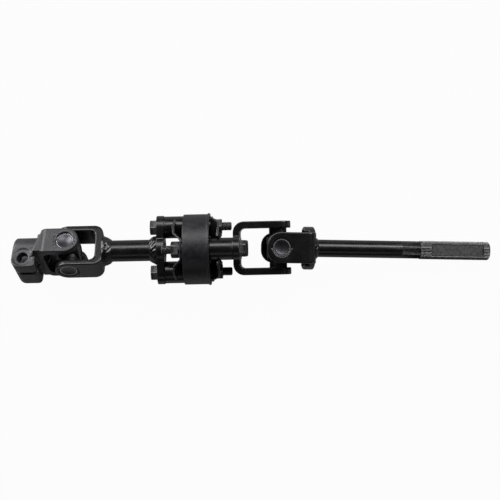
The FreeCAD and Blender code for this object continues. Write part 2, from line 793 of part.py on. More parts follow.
def make_shaft():
    """Solid shaft with a rolled spline at its end and a locating flat milled across it."""
    spline_start = "shaft_end - spline_length"
    rise = "(spline_radius - shaft_radius)"
    body = turned("splined_shaft", [
        ("fork_reach", "0"),
        ("fork_reach", "shaft_radius"),
        (spline_start, "shaft_radius"),
        (f"{spline_start} + {rise}", "spline_radius"),
        ("shaft_end - shaft_end_chamfer", "spline_radius"),
        ("shaft_end", "spline_radius - shaft_end_chamfer"),
        ("shaft_end", "0"),
    ])
    groove = sketch_on(body, "spline_groove", "YZ_Plane", f"{spline_start} - overcut")
    half_mouth = "(pi * spline_radius / spline_teeth * spline_mouth_share)"
    half_root = f"{half_mouth} * spline_root_share"
    draw_outline(groove, [
        (half_root, "spline_radius - spline_depth"),
        (half_mouth, "spline_radius + spline_overcut"),
        (f"-{half_mouth}", "spline_radius + spline_overcut"),
        (f"-{half_root}", "spline_radius - spline_depth"),
    ])
    pocket = cut(body, groove, "spline_length + 2 * overcut")
    pattern = body.newObject("PartDesign::PolarPattern", "spline_pattern")
    pattern.Originals = [pocket]
    x_axis = next(item for item in body.Origin.OriginFeatures if item.Role == "X_Axis")
    pattern.Axis = (x_axis, [""])
    pattern.Angle = 360
    bind(pattern, Occurrences="spline_teeth")
    body.Tip = pattern
    doc.recompute()
    flat = sketch_on(body, "locating_flat", "XZ_Plane")
    draw_outline(flat, [
        ("flat_start", "flat_height"),
        ("flat_start", "spline_radius + overcut"),
        ("flat_start + flat_length", "spline_radius + overcut"),
        ("flat_start + flat_length", "flat_height"),
    ])
    cut(body, flat, "2 * (spline_radius + overcut)", midplane=True)
    return body


def make_cups(name, end):
    """Pair of closed needle cups along X, each with a dished outer face."""
    inner = "cup_radius - cup_wall"
    cup = turned(f"{name}_upper", [
        (f"{end} - cup_dish", "0"),
        (f"{end} - cup_dish", "cup_dish_radius - cup_dish"),
        (end, "cup_dish_radius"),
        (end, "cup_radius - cup_chamfer"),
        (f"{end} - cup_chamfer", "cup_radius"),
        (f"{end} - cup_depth", "cup_radius"),
        (f"{end} - cup_depth", inner),
        (f"{end} - cup_dish - cup_floor", inner),
        (f"{end} - cup_dish - cup_floor", "0"),
    ])
    return group(name, [cup, mirrored(cup, Vector(1, 0, 0))])


def make_needles(name, end):
    """Pair of needle sets, each drawn as the ring that its rollers fill."""
    far = f"{end} - cup_dish - cup_floor - needle_end_gap"
    near = f"{end} - cup_depth + needle_end_gap"
    bore = "trunnion_radius + needle_clearance"
    ring = turned(f"{name}_upper", [
        (near, bore),
        (near, "cup_radius - cup_wall"),
        (far, "cup_radius - cup_wall"),
        (far, bore),
    ])
    return group(name, [ring, mirrored(ring, Vector(1, 0, 0))])


def make_cross(name, end):
    """Forged cross with four trunnions along Y and Z."""
    tip = f"{end} - cup_dish - cup_floor - trunnion_end_gap"
    shoulder = f"{end} - cup_depth - seal_gap - seal_width"
    arm = turned(f"{name}_trunnions", mirrored_halves([
        (tip, "0"),
        (tip, "trunnion_radius - trunnion_chamfer"),
        (f"{tip} - trunnion_chamfer", "trunnion_radius"),
        (shoulder, "trunnion_radius"),
        (shoulder, "cross_shoulder_radius"),
    ]))
    along_y = group(f"{name}_arms_y", [arm], Placement(Vector(), ROTATION_TO_Y))
    along_z = group(f"{name}_arms_z", [arm], Placement(Vector(), ROTATION_TO_Z))
    hub_radius = f"{shoulder} - cross_hub_inset"
    hub = turned(f"{name}_hub", mirrored_halves([
        ("cross_hub_width / 2 - cross_hub_dish", "0"),
        ("cross_hub_width / 2 - cross_hub_dish", f"{hub_radius} - cross_hub_rim - cross_hub_dish"),
        ("cross_hub_width / 2", f"{hub_radius} - cross_hub_rim"),
        ("cross_hub_width / 2", f"{hub_radius} - cross_hub_chamfer"),
        ("cross_hub_width / 2 - cross_hub_chamfer", hub_radius),
    ]))
    return joined(name, [along_y, along_z, hub])


def make_seals(name, end):
    """Four lip seals, pressed on the trunnions against the shoulders of a cross."""
    inner_face = f"{end} - cup_depth - seal_gap - seal_width"
    seal = turned(f"{name}_upper", [
        (inner_face, "trunnion_radius"),
        (inner_face, "seal_radius"),
        (f"{inner_face} + seal_width - seal_lip_width", "seal_radius"),
        (f"{inner_face} + seal_width", "seal_radius - seal_lip_drop"),
        (f"{inner_face} + seal_width", "trunnion_radius"),
    ])
    pair = [seal, mirrored(seal, Vector(1, 0, 0))]
    along_y = group(f"{name}_y", pair, Placement(Vector(), ROTATION_TO_Y))
    along_z = group(f"{name}_z", pair, Placement(Vector(), ROTATION_TO_Z))
    return group(name, [along_y, along_z])


def lowest(shape, placement):
    moved = shape.copy()
    moved.Placement = placement.multiply(moved.Placement)
    return moved.optimalBoundingBox(True, False).ZMin


def settle(shape, pose):
    """Droop in degrees at which a shape just touches the surface, from a pose for each droop."""
    high, low = 0.0, MOST_DROOP
    for _ in range(SETTLE_STEPS):
        middle = (high + low) / 2
        if lowest(shape, pose(middle)) > 0:
            high = middle
        else:
            low = middle
    return high


def clamp_angles(droop):
    """Turns of the left cross and of the clamp yoke that let the yoke hang straight down by a droop."""
    twist = math.radians(number("twist"))
    fall = math.radians(droop)
    first = math.degrees(math.atan(math.tan(fall) * math.cos(twist)))
    second = -math.degrees(math.asin(math.sin(fall) * math.sin(twist)))
    return first, second


# The ring lies on its left edge and on the lip, so the middle stretch rises a little to the right
coupling_ring = make_ring()
mid_rise = math.degrees(math.atan(number("ring_lip / (ring_width - ring_lip_width - ring_chamfer)")))
mid_turn = Placement(Vector(), Rotation(Vector(0, 1, 0), -mid_rise))
axis_height = -lowest(coupling_ring.Shape, mid_turn)
mid = Placement(Vector(0, 0, axis_height), mid_turn.Rotation)
turned_mid = mid.multiply(Placement(Vector(), QUARTER_TURN.multiply(Rotation(Vector(0, 0, 1), 180))))
left = mid.multiply(Placement(Vector(-number("left_cross_x"), 0, 0),
                              Rotation(Vector(1, 0, 0), -number("twist"))))
right = mid.multiply(Placement(Vector(number("right_cross_x"), 0, 0), Rotation()))


def left_cross_pose(droop):
    first, _ = clamp_angles(droop)
    return left.multiply(Placement(Vector(), Rotation(Vector(0, -1, 0), first)))


def clamp_pose(droop):
    _, second = clamp_angles(droop)
    return left_cross_pose(droop).multiply(Placement(Vector(), Rotation(Vector(0, 0, 1), second)))


def right_cross_pose(droop):
    return right.multiply(Placement(Vector(), Rotation(Vector(0, 1, 0), droop)))


def shaft_pose(droop):
    yaw = Rotation(Vector(0, 0, 1), -number("shaft_yaw"))
    return right_cross_pose(droop).multiply(Placement(Vector(), yaw))


def along_y(placement):
    return placement.multiply(Placement(Vector(), ROTATION_TO_Y))


def along_z(placement):
    return placement.multiply(Placement(Vector(), ROTATION_TO_Z))


clamp_yoke = make_clamp_yoke()
splined_shaft = make_shaft()
clamp_droop = settle(clamp_yoke.Shape, clamp_pose)
shaft_droop = settle(splined_shaft.Shape, shaft_pose)
left_cross = left_cross_pose(clamp_droop)
clamp = clamp_pose(clamp_droop)
right_cross = right_cross_pose(shaft_droop)
shaft = shaft_pose(shaft_droop)

weld_back = "weld_yoke_reach + weld_yoke_base + weld_yoke_hub_rise - left_cross_x"
flange_back = "-flange_gap - flange_wall"
fork_back = "fork_reach + fork_base"

# Each piece with the place that it is put at
PIECES = [
    (clamp_yoke, clamp),
    (make_cups("clamp_yoke_bearing_cups", "left_cup_end"), along_z(clamp)),
    (make_needles("clamp_yoke_needle_sets", "left_cup_end"), along_z(clamp)),
    (make_cross("left_cross", "left_cup_end"), left_cross),
    (make_seals("left_cross_seals", "left_cup_end"), left_cross),
    (make_weld_yoke(), left),
    (make_cups("weld_yoke_bearing_cups", "left_cup_end"), along_y(left)),
    (make_needles("weld_yoke_needle_sets", "left_cup_end"), along_y(left)),
    (make_tube(), mid),
    (make_bead("yoke_weld_bead", weld_back, f"{weld_back} + yoke_bead_width", "tube_radius",
               "yoke_bead_rise"), mid),
    (make_bead("flange_weld_bead", flange_back, f"{flange_back} - flange_bead_width", "tube_radius",
               "flange_bead_rise"), mid),
    (make_flange(), mid),
    (make_bolts("flange_bolts", "(flange_gap + flange_wall)"), mid),
    (make_sleeves("flange_bolt_sleeves", "flange_gap"), mid),
    (make_nuts("flange_bolt_nuts"), mid),
    (make_stopper("flange_stopper_plate"), mid),
    (coupling_ring, mid),
    (make_rubber(), mid),
    (make_bolts("yoke_bolts", "(yoke_gap + coupling_yoke_base)"), turned_mid),
    (make_sleeves("yoke_bolt_sleeves", "yoke_gap"), turned_mid),
    (make_nuts("yoke_bolt_nuts"), turned_mid),
    (make_stopper("yoke_stopper_plate"), turned_mid),
    (make_coupling_yoke(), right),
    (make_cups("coupling_yoke_bearing_cups", "right_cup_end"), along_y(right)),
    (make_needles("coupling_yoke_needle_sets", "right_cup_end"), along_y(right)),
    (make_cross("right_cross", "right_cup_end"), right_cross),
    (make_seals("right_cross_seals", "right_cup_end"), right_cross),
    (make_fork(), shaft),
    (make_cups("shaft_fork_bearing_cups", "right_cup_end"), along_z(shaft)),
    (make_needles("shaft_fork_needle_sets", "right_cup_end"), along_z(shaft)),
    (make_bead("shaft_weld_bead", fork_back, f"{fork_back} + shaft_bead_width", "shaft_radius",
               "shaft_bead_rise"), shaft),
    (splined_shaft, shaft),
]


def footprint_middle():
    """Shift that brings the middle of the footprint to the origin."""
    box_all = FreeCAD.BoundBox()
    for piece, placement in PIECES:
        shape = piece.Shape.copy()
        shape.Placement = placement.multiply(shape.Placement)
        box_all.add(shape.optimalBoundingBox(True, False))
    return Vector(-box_all.Center.x, -box_all.Center.y, 0)


def place_all():
    shift = Placement(footprint_middle(), Rotation())
    for piece, placement in PIECES:
        piece.Label = piece.Name
        piece.Placement = shift.multiply(placement)
    doc.recompute()
    return shift


def check_all():
    for item in doc.Objects:
        if "Invalid" in item.State or "Error" in item.State:
            raise RuntimeError(f"{item.Name} failed")
    for piece, _ in PIECES:
        if piece.Shape.isNull() or not piece.Shape.isValid():
            raise RuntimeError(f"{piece.Label} has no valid shape")


def export_all():
    os.makedirs("parts", exist_ok=True)
    for piece, _ in PIECES:
        piece.Shape.exportStep(f"parts/{piece.Label}.step")


shift = place_all()
check_all()
export_all()
print(f"{len(PIECES)} pieces, middle rise {mid_rise:.2f}, clamp droop {clamp_droop:.2f}, "
      f"shaft droop {shaft_droop:.2f}")
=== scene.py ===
import json
import logging
import math
from collections.abc import Callable, Iterable, Mapping, Sequence
from dataclasses import dataclass
from enum import Enum
from typing import Any

import bmesh
import bpy
from mathutils import Matrix, Vector


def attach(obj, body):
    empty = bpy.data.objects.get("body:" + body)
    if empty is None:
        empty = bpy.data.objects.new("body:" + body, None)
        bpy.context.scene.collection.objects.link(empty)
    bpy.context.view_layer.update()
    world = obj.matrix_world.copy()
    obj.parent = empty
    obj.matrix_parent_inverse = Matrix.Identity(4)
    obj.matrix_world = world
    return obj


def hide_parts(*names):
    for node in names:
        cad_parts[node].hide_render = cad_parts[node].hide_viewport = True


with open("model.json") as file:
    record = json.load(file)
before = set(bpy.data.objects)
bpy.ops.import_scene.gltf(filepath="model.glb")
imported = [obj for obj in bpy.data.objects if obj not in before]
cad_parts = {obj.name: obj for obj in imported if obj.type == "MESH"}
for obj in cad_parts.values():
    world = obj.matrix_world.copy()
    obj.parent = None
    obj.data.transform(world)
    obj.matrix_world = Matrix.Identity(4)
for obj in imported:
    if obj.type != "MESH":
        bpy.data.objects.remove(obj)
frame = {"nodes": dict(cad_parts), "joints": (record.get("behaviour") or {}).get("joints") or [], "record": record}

LOG = logging.getLogger("steering_shaft")
MM = 0.001
FULL_TURN = 2 * math.pi
SMALL_RING = 64
LARGE_RING = 128
SHARP_ANGLE = math.radians(38)
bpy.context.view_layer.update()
THIN_COAT = "thin_coat"
WHITE = (1.0, 1.0, 1.0, 1.0)
# Slack, in millimetres, for telling whether a point lies on a face
HAIR = 0.01
# Vertices closer than this, in millimetres, are one
WELD_DISTANCE = 1e-5
# Most of a straight edge that the arc of one corner takes up
EDGE_SHARE = 0.49

Profile = list[tuple[float, float]]
Waviness = Callable[[float, float, float], float]
Mesh = bpy.types.Mesh
Socket = bpy.types.NodeSocket


class Slot(Enum):
    """Material slots of the record."""

    FORGED_YOKE = "forged_yoke"
    PAINTED_STEEL = "painted_steel"
    BEARING_STEEL = "bearing_steel"
    NEEDLE_STEEL = "needle_steel"
    FORGED_CROSS = "forged_cross"
    SEAL_RUBBER = "seal_rubber"
    WELD_BEAD = "weld_bead"
    BOLT_STEEL = "bolt_steel"
    STOPPER_PLATE = "stopper_plate"
    COUPLING_RING = "coupling_ring"
    COUPLING_RUBBER = "coupling_rubber"
    SHAFT_STEEL = "shaft_steel"


class Body(Enum):
    """Bodies of the part that pieces ride on."""

    COUPLING = "coupling"
    FRONT_SHAFT = "front_shaft"
    LEFT_CROSS = "left_cross"
    CLAMP_YOKE = "clamp_yoke"
    RIGHT_CROSS = "right_cross"
    SPLINED_SHAFT = "splined_shaft"


# Places: each sub-assembly has a frame of its own, worked out from the joints and mounts


def entry_named(entries: Iterable[Mapping[str, Any]], name: str) -> Mapping[str, Any]:
    """Find a joint or mount by name.

    Args:
        entries: Joints or mounts of the frame.
        name: Name to look for.

    Returns:
        The entry of that name.
    """
    return next(entry for entry in entries if entry["name"] == name)


def placed(origin: Sequence[float], along: Vector, up: Vector) -> Matrix:
    """Make the matrix of a local frame.

    Args:
        origin: Origin in metres.
        along: Direction of the local X axis.
        up: Direction of the local Z axis, made square to X.

    Returns:
        Matrix from the local frame to the row frame.
    """
    x_axis = along.normalized()
    z_axis = (up - x_axis * up.dot(x_axis)).normalized()
    y_axis = z_axis.cross(x_axis)
    turn = Matrix((x_axis, y_axis, z_axis)).transposed().to_4x4()
    return Matrix.Translation(Vector(origin)) @ turn


def joint_place(name: str) -> tuple[Vector, Vector]:
    """Give the point and the axis of a joint."""
    joint = entry_named(frame["joints"], name)
    return Vector(joint["pos_m"]), Vector(joint["axis"])


def mount_axis(name: str) -> Vector:
    """Give the axis of a mount."""
    return Vector(entry_named(frame["record"]["mounts"], name)["axis"])


WORLD_Z = Vector((0, 0, 1))
COUPLING_POINT, MIDDLE_AXIS = joint_place("coupling_twist")
LEFT_POINT, LEFT_AXIS = joint_place("left_cross_in_weld_yoke")
_, CLAMP_AXIS = joint_place("clamp_yoke_on_left_cross")
RIGHT_POINT, RIGHT_AXIS = joint_place("right_cross_in_coupling_yoke")
_, FORK_AXIS = joint_place("splined_shaft_on_right_cross")
MIDDLE = placed(COUPLING_POINT, MIDDLE_AXIS, WORLD_Z)
CROSSWISE = placed(COUPLING_POINT, -MIDDLE_AXIS, -RIGHT_AXIS)
WELD_YOKE = placed(LEFT_POINT, MIDDLE_AXIS, MIDDLE_AXIS.cross(-LEFT_AXIS))
LEFT_CROSS = placed(LEFT_POINT, (-LEFT_AXIS).cross(CLAMP_AXIS), CLAMP_AXIS)
CLAMP = placed(LEFT_POINT, -mount_axis("clamp_bore"), CLAMP_AXIS)
COUPLING_YOKE = placed(RIGHT_POINT, MIDDLE_AXIS, MIDDLE_AXIS.cross(RIGHT_AXIS))
RIGHT_CROSS = placed(RIGHT_POINT, RIGHT_AXIS.cross(FORK_AXIS), FORK_AXIS)
SHAFT = placed(RIGHT_POINT, mount_axis("splined_end"), FORK_AXIS)
X_TO_Y = Matrix.Rotation(math.pi / 2, 4, "Z")
X_TO_Z = Matrix.Rotation(-math.pi / 2, 4, "Y")
HALF_TURN = Matrix.Rotation(math.pi, 4, "Z")
BOTH_ENDS = (Matrix.Identity(4), HALF_TURN)


def local_points(node: str, place: Matrix) -> list[Vector]:
    """Give the points of a CAD node in a local frame.

    Args:
        node: Name of the node.
        place: Matrix of the local frame.

    Returns:
        Its vertices, in millimetres.
    """
    back = place.inverted()
    return [back @ vertex.co / MM for vertex in frame["nodes"][node].data.vertices]


def from_axis(point: Vector) -> float:
    """Give how far a point lies from the X axis."""
    return math.hypot(point.y, point.z)


@dataclass(frozen=True)
class Seat:
    """CAD node that a piece stands for, the frame that it is drawn in and the body that it rides on."""

    node: str
    place: Matrix
    body: Body

    def points(self) -> list[Vector]:
        """Give the node's points in the seat's frame, in millimetres."""
        return local_points(self.node, self.place)

    def span(self) -> tuple[Vector, Vector]:
        """Give the low and high corners of the node's box in the seat's frame, in millimetres."""
        points = self.points()
        low = Vector([min(point[axis] for point in points) for axis in range(3)])
        high = Vector([max(point[axis] for point in points) for axis in range(3)])
        return low, high

    def near_end(self) -> float:
        """Find where the outer one of two pieces that face each other along X begins."""
        return min(point.x for point in self.points() if point.x > 0)


# Meshes


@dataclass(frozen=True)
class Corner:
    """Corner of a turned outline: place along the axis, radius from it, and how round it is."""

    along: float
    radius: float
    rounding: float = 0.0


def rounded_outline(corners: Sequence[Corner], closed: bool, steps: int = 4) -> Profile:
    """Replace the corners of an outline with arcs.

    Args:
        corners: Corners in order.
        closed: Whether the last corner joins the first.
        steps: Straight pieces in each arc.

    Returns:
        Points of the rounded outline.
    """
    points: Profile = []
    count = len(corners)
    for index, corner in enumerate(corners):
        at = Vector((corner.along, corner.radius))
        if corner.rounding <= 0 or (not closed and index in (0, count - 1)):
            points.append((at.x, at.y))
            continue
        before = corners[index - 1]
        after = corners[(index + 1) % count]
        back = Vector((before.along, before.radius)) - at
        ahead = Vector((after.along, after.radius)) - at
        half = back.angle(ahead) / 2
        room = min(back.length * EDGE_SHARE, ahead.length * EDGE_SHARE)
        trim = min(corner.rounding / math.tan(half), room)
        start = at + back.normalized() * trim
        end = at + ahead.normalized() * trim
        for step in range(steps + 1):
            share = step / steps
            point = start * (1 - share) ** 2 + at * 2 * share * (1 - share) + end * share**2
            points.append((point.x, point.y))
    return points


def finish_mesh(name: str, mesh: Mesh, place: Matrix) -> bpy.types.Object:
    """Turn a local mesh in millimetres into a piece in the row frame.

    Args:
        name: Name of the piece.
        mesh: Mesh in millimetres.
        place: Matrix of its local frame.

    Returns:
        The piece, smooth apart from its sharp edges.
    """
    mesh.transform(place @ Matrix.Scale(MM, 4))
    mesh.polygons.foreach_set("use_smooth", [True] * len(mesh.polygons))
    mesh.set_sharp_from_angle(angle=SHARP_ANGLE)
    mesh.update()
    piece = bpy.data.objects.new(name, mesh)
    bpy.context.scene.collection.objects.link(piece)
    return piece


def grid_faces(first: int, rows: int, around: int, closed: bool) -> list[tuple[int, ...]]:
    """Join rows of points into quads.

    Args:
        first: Index of the first point.
        rows: Number of rows.
        around: Points in each row, which is a loop.
        closed: Whether the last row joins the first.

    Returns:
        Faces as indices of their points.
    """
    faces: list[tuple[int, ...]] = []
    for row in range(rows if closed else rows - 1):
        near = first + row * around
        far = first + (row + 1) % rows * around
        for step in range(around):
            after = (step + 1) % around
            faces.append((near + step, near + after, far + after, far + step))
    return faces


def mesh_from(name: str, vertices: Sequence[Vector], faces: Sequence[tuple[int, ...]]) -> Mesh:
    """Make a clean mesh from points and faces."""
    mesh = bpy.data.meshes.new(name)
    mesh.from_pydata([tuple(vertex) for vertex in vertices], [], faces)
    weld_and_orient(mesh)
    return mesh


def turned_mesh(
    name: str,
    profile: Profile,
    closed: bool,
    ring: int = SMALL_RING,
    shape: Waviness | None = None,
    copies: Sequence[Matrix] = (Matrix.Identity(4),),
) -> Mesh:
    """Turn an outline round X, with a change of radius where a shape is given.

    Args:
        name: Name of the mesh.
        profile: Points of (place along X, radius).
        closed: Whether the outline is a closed loop, as in a ring.
        ring: Points round the axis.
        shape: Gives the radius from the place along X, the radius and the angle.
        copies: Places of the copies, in the local frame.

    Returns:
        Mesh in millimetres.
    """
    vertices: list[Vector] = []
    faces: list[tuple[int, ...]] = []
    for copy in copies:
        faces += grid_faces(len(vertices), len(profile), ring, closed)
        for along, radius in profile:
            for step in range(ring):
                angle = FULL_TURN * step / ring
                reach = shape(along, radius, angle) if shape and radius > 0 else radius
                point = Vector((along, reach * math.cos(angle), reach * math.sin(angle)))
                vertices.append(copy @ point)
    return mesh_from(name, vertices, faces)


def thin_where(mesh: Mesh, share: Callable[[Vector], float]) -> None:
    """Say on each vertex how far its coat has worn thin, from none (0) to all of it (1)."""
    thin = mesh.attributes.new(THIN_COAT, "FLOAT", "POINT")
    for index, vertex in enumerate(mesh.vertices):
        thin.data[index].value = share(vertex.co)


def weld_and_orient(mesh: Mesh) -> None:
    """Merge vertices that coincide and turn every face outwards."""
    work = bmesh.new()
    work.from_mesh(mesh)
    bmesh.ops.remove_doubles(work, verts=work.verts, dist=WELD_DISTANCE)
    bmesh.ops.recalc_face_normals(work, faces=work.faces)
    work.to_mesh(mesh)
    work.free()


@dataclass(frozen=True)
class WebFillet:
    """Forged web that runs from the clamp yoke's ear down to its barrel. Lengths are in millimetres."""

    ear_face: float = 22.1
    ear_root: float = -16.0
    ear_inside: float = 18.0
    yoke_base: float = -21.6
    middle: float = -25.6
    skew: float = 3.2
    run: float = 5.0
    half_width: float = 11.2
    barrel_radius: float = 13.3
    lug_face: float = 12.8
    bore_radius: float = 9.3
    bore_gap: float = 0.3
    curve_away: float = 0.12
    curve_down: float = 0.92
    curve_steps: int = 8
    rows: int = 16

    def edge(self, y: float) -> list[Vector]:
        """Draw the web's outline at one place across the yoke, from the ear down to the barrel."""
        ear = self.middle + self.skew * y / self.half_width
        base = math.sqrt(max(self.barrel_radius**2 - y * y, 0.0)) if y > 0 else self.lug_face
        curve = []
        for share in evenly(0, 1, self.curve_steps):
            away = 2 * share * (1 - share) * self.curve_away + share**2
            down = 2 * share * (1 - share) * self.curve_down + share**2
            curve.append(Vector((ear - self.run * away, y, self.ear_face + (base - self.ear_face) * down)))
        depth = math.sqrt(max(self.bore_radius**2 - y * y, 0.0)) + self.bore_gap
        inside = [(ear - self.run, depth), (self.yoke_base, depth), (self.yoke_base, self.ear_inside),
                  (self.ear_root, self.ear_inside), (self.ear_root, self.ear_face)]
        return [*curve, *(Vector((x, y, z)) for x, z in inside)]

    def mesh(self) -> Mesh:
        """Build the web on both ears, in the clamp yoke's frame."""
        vertices: list[Vector] = []
        faces: list[tuple[int, ...]] = []
        rows = [self.edge(y) for y in evenly(-self.half_width, self.half_width, self.rows)]
        count = len(rows[0])
        for side in (1, -1):
            first = len(vertices)
            last = first + (len(rows) - 1) * count
            vertices += [Vector((point.x, point.y, side * point.z)) for row in rows for point in row]
            faces += grid_faces(first, len(rows), count, closed=False)
            faces += [tuple(range(first, first + count)), tuple(range(last, last + count))]
        return mesh_from("clamp_yoke_web", vertices, faces)


def merged(*meshes: Mesh) -> Mesh:
    """Join meshes into the first."""
    work = bmesh.new()
    for mesh in meshes:
        work.from_mesh(mesh)
    work.to_mesh(meshes[0])
    work.free()
    return meshes[0]


@dataclass(frozen=True)
class Staking:
    """Punch marks that hold a bearing cup in its ear. Lengths are in millimetres."""

    ring: float = 9.7
    mark: float = 0.95
    depth: float = 0.8
    angles: tuple[float, ...] = (-25.0, -8.5, 8.5, 25.0)

    def press(self, mesh: Mesh, axis: int) -> None:
        """Press the marks into the faces that lie across an axis.

        Args:
            mesh: Mesh in millimetres, with the joint's centre at its origin.
            axis: Index of the axis that runs through the cups.
        """
        reach = max(abs(vertex.co[axis]) for vertex in mesh.vertices if abs(vertex.co.x) < self.ring)
        marks = [
            (side * self.ring * math.cos(math.radians(angle)), self.ring * math.sin(math.radians(angle)))
            for side in (1, -1) for angle in self.angles
        ]
        for vertex in mesh.vertices:
            if abs(vertex.co[axis]) < reach - self.depth or abs(vertex.co.x) > self.ring + self.mark:
                continue
            across = vertex.co[3 - axis]
            away = min(math.hypot(vertex.co.x - x, across - y) for x, y in marks) / self.mark
            if away < 1:
                vertex.co[axis] -= math.copysign(self.depth * (1 - away**2), vertex.co[axis])


# Share of the way to its neighbours that a point moves in one pass of smoothing
SMOOTHING = 0.5


def softened(soft: "Softening") -> bpy.types.Object:
    """Copy a CAD node with its edges rounded, as forging, pressing or moulding leaves them.

    Args:
        soft: The node, and how far it is rounded.

    Returns:
        The piece, in the row frame.
    """
    mesh = frame["nodes"][soft.node].data.copy()
    mesh.materials.clear()
    mesh.transform(Matrix.Scale(1 / MM, 4) @ soft.place.inverted())
    if soft.web:
        mesh = merged(mesh, soft.web.mesh())
    work = bpy.data.objects.new(f"{soft.node}_work", mesh)
    bpy.context.scene.collection.objects.link(work)
    remesh = work.modifiers.new("cells", "REMESH")
    remesh.mode = "VOXEL"
    remesh.voxel_size = soft.voxel
    smooth = work.modifiers.new("rounding", "SMOOTH")
    smooth.factor = SMOOTHING
    smooth.iterations = soft.passes
    thin = work.modifiers.new("thinning", "DECIMATE")
    thin.ratio = soft.kept
    shaped = work.evaluated_get(bpy.context.evaluated_depsgraph_get())
    result = bpy.data.meshes.new_from_object(shaped)
    bpy.data.objects.remove(work)
    if soft.cup_axis is not None:
        soft.staking.press(result, soft.cup_axis)
    return finish_mesh(f"{soft.node}_soft", result, soft.place)


# Shapes that a turned outline takes round its axis

# Half the width of a hexagon across flats, over half its width across corners
HEX_SHARE = math.cos(math.pi / 6)
# How steep a thread's flanks are, over a plain triangle
FLANK = 1.15
# How steep a tooth's flanks are, over a plain wave, and how far a groove may go under the core
GROOVE = 1.5
CORE_SLACK = 0.2
# How far weld drops lean, in radians per millimetre, and how unevenly they are spaced, in radians
DROP_LEAN = 0.08
DROP_WANDER = 0.7
WANDERS = 3
# Slow lumps of a bead: how many go round it, their lean, and their share of the seed
LUMPS = ((5, 0.5, 2), (9, -0.6, 1))
# Shares of a bead's height that its drops, its lumps and its shrinkage take
DROP_RISE = 0.24
LUMP_RISE = 0.08
BEAD_SINK = 0.12


def six_sided(flats: float) -> Waviness:
    """Limit a turned outline to a hexagon.

    Args:
        flats: Width across the flats.

    Returns:
        Function that gives the smaller of the outline and the hexagon.
    """

    def reach(along: float, radius: float, angle: float) -> float:
        from_flat = (angle + math.pi / 6) % (math.pi / 3) - math.pi / 6
        return min(radius, flats / 2 / math.cos(from_flat))

    return reach


def threaded(start: float, pitch: float, depth: float) -> Waviness:
    """Cut a screw thread into a turned outline, running out at its start.

    Args:
        start: Place along the axis where the thread begins.
        pitch: Advance in one turn.
        depth: Depth of the thread.

    Returns:
        Function that gives the radius of the thread.
    """

    def reach(along: float, radius: float, angle: float) -> float:
        phase = (along / pitch - angle / FULL_TURN) % 1
        flank = min(1.0, FLANK * abs(2 * phase - 1))
        run_out = min(1.0, max(0.0, (along - start) / pitch))
        return radius - depth * (1 - flank) * run_out

    return reach


def rippled(core: float, height: float, passes: int, seed: float) -> Waviness:
    """Raise a turned outline into the overlapping drops of a weld.

    Args:
        core: Radius of the tube under the bead.
        height: Height of the drops.
        passes: Drops round the bead.
        seed: Shift that sets one bead apart from the next.

    Returns:
        Function that gives the radius of the bead.
    """

    def reach(along: float, radius: float, angle: float) -> float:
        lean = angle + DROP_LEAN * along
        wander = DROP_WANDER * math.sin(WANDERS * angle + seed)
        drop = abs(math.sin(passes * lean / 2 + seed + wander))
        lump = sum(math.sin(count * angle + slant * along + part * seed) for count, slant, part in LUMPS)
        share = min(1.0, max(0.0, (radius - core) / height))
        return radius + height * share * (DROP_RISE * drop + LUMP_RISE * lump - BEAD_SINK)

    return reach


def splined(start: float, teeth: int, depth: float, core: float) -> Waviness:
    """Cut straight splines into a turned outline, with rounded roots.

    Args:
        start: Place along the axis where the teeth begin.
        teeth: Number of teeth.
        depth: Depth of a groove.
        core: Radius that no groove goes under.

    Returns:
        Function that gives the radius of the splines.
    """

    def reach(along: float, radius: float, angle: float) -> float:
        if along < start or radius < core:
            return radius
        wave = 0.5 + 0.5 * math.cos(teeth * angle)
        groove = min(1.0, GROOVE * wave)
        return max(radius - depth * groove, core - CORE_SLACK)

    return reach


def evenly(start: float, end: float, steps: int) -> list[float]:
    """Give evenly spaced places from a start to an end."""
    return [start + (end - start) * step / steps for step in range(steps + 1)]


def moved_sideways(offset: float) -> Matrix:
    """Give the matrix of a shift along Y, in millimetres."""
    return Matrix.Translation((0.0, offset, 0.0))


# Finishes


def linear(colour: str) -> tuple[float, float, float, float]:
    """Turn an sRGB hex value into Blender's linear colour.

    Args:
        colour: Hex value such as #1a1a1c.

    Returns:
        Linear red, green, blue and alpha.
    """
    shares = [int(colour[start : start + 2], 16) / 255 for start in (1, 3, 5)]
    values = [share / 12.92 if share <= 0.04045 else ((share + 0.055) / 1.055) ** 2.4 for share in shares]
    return values[0], values[1], values[2], 1.0


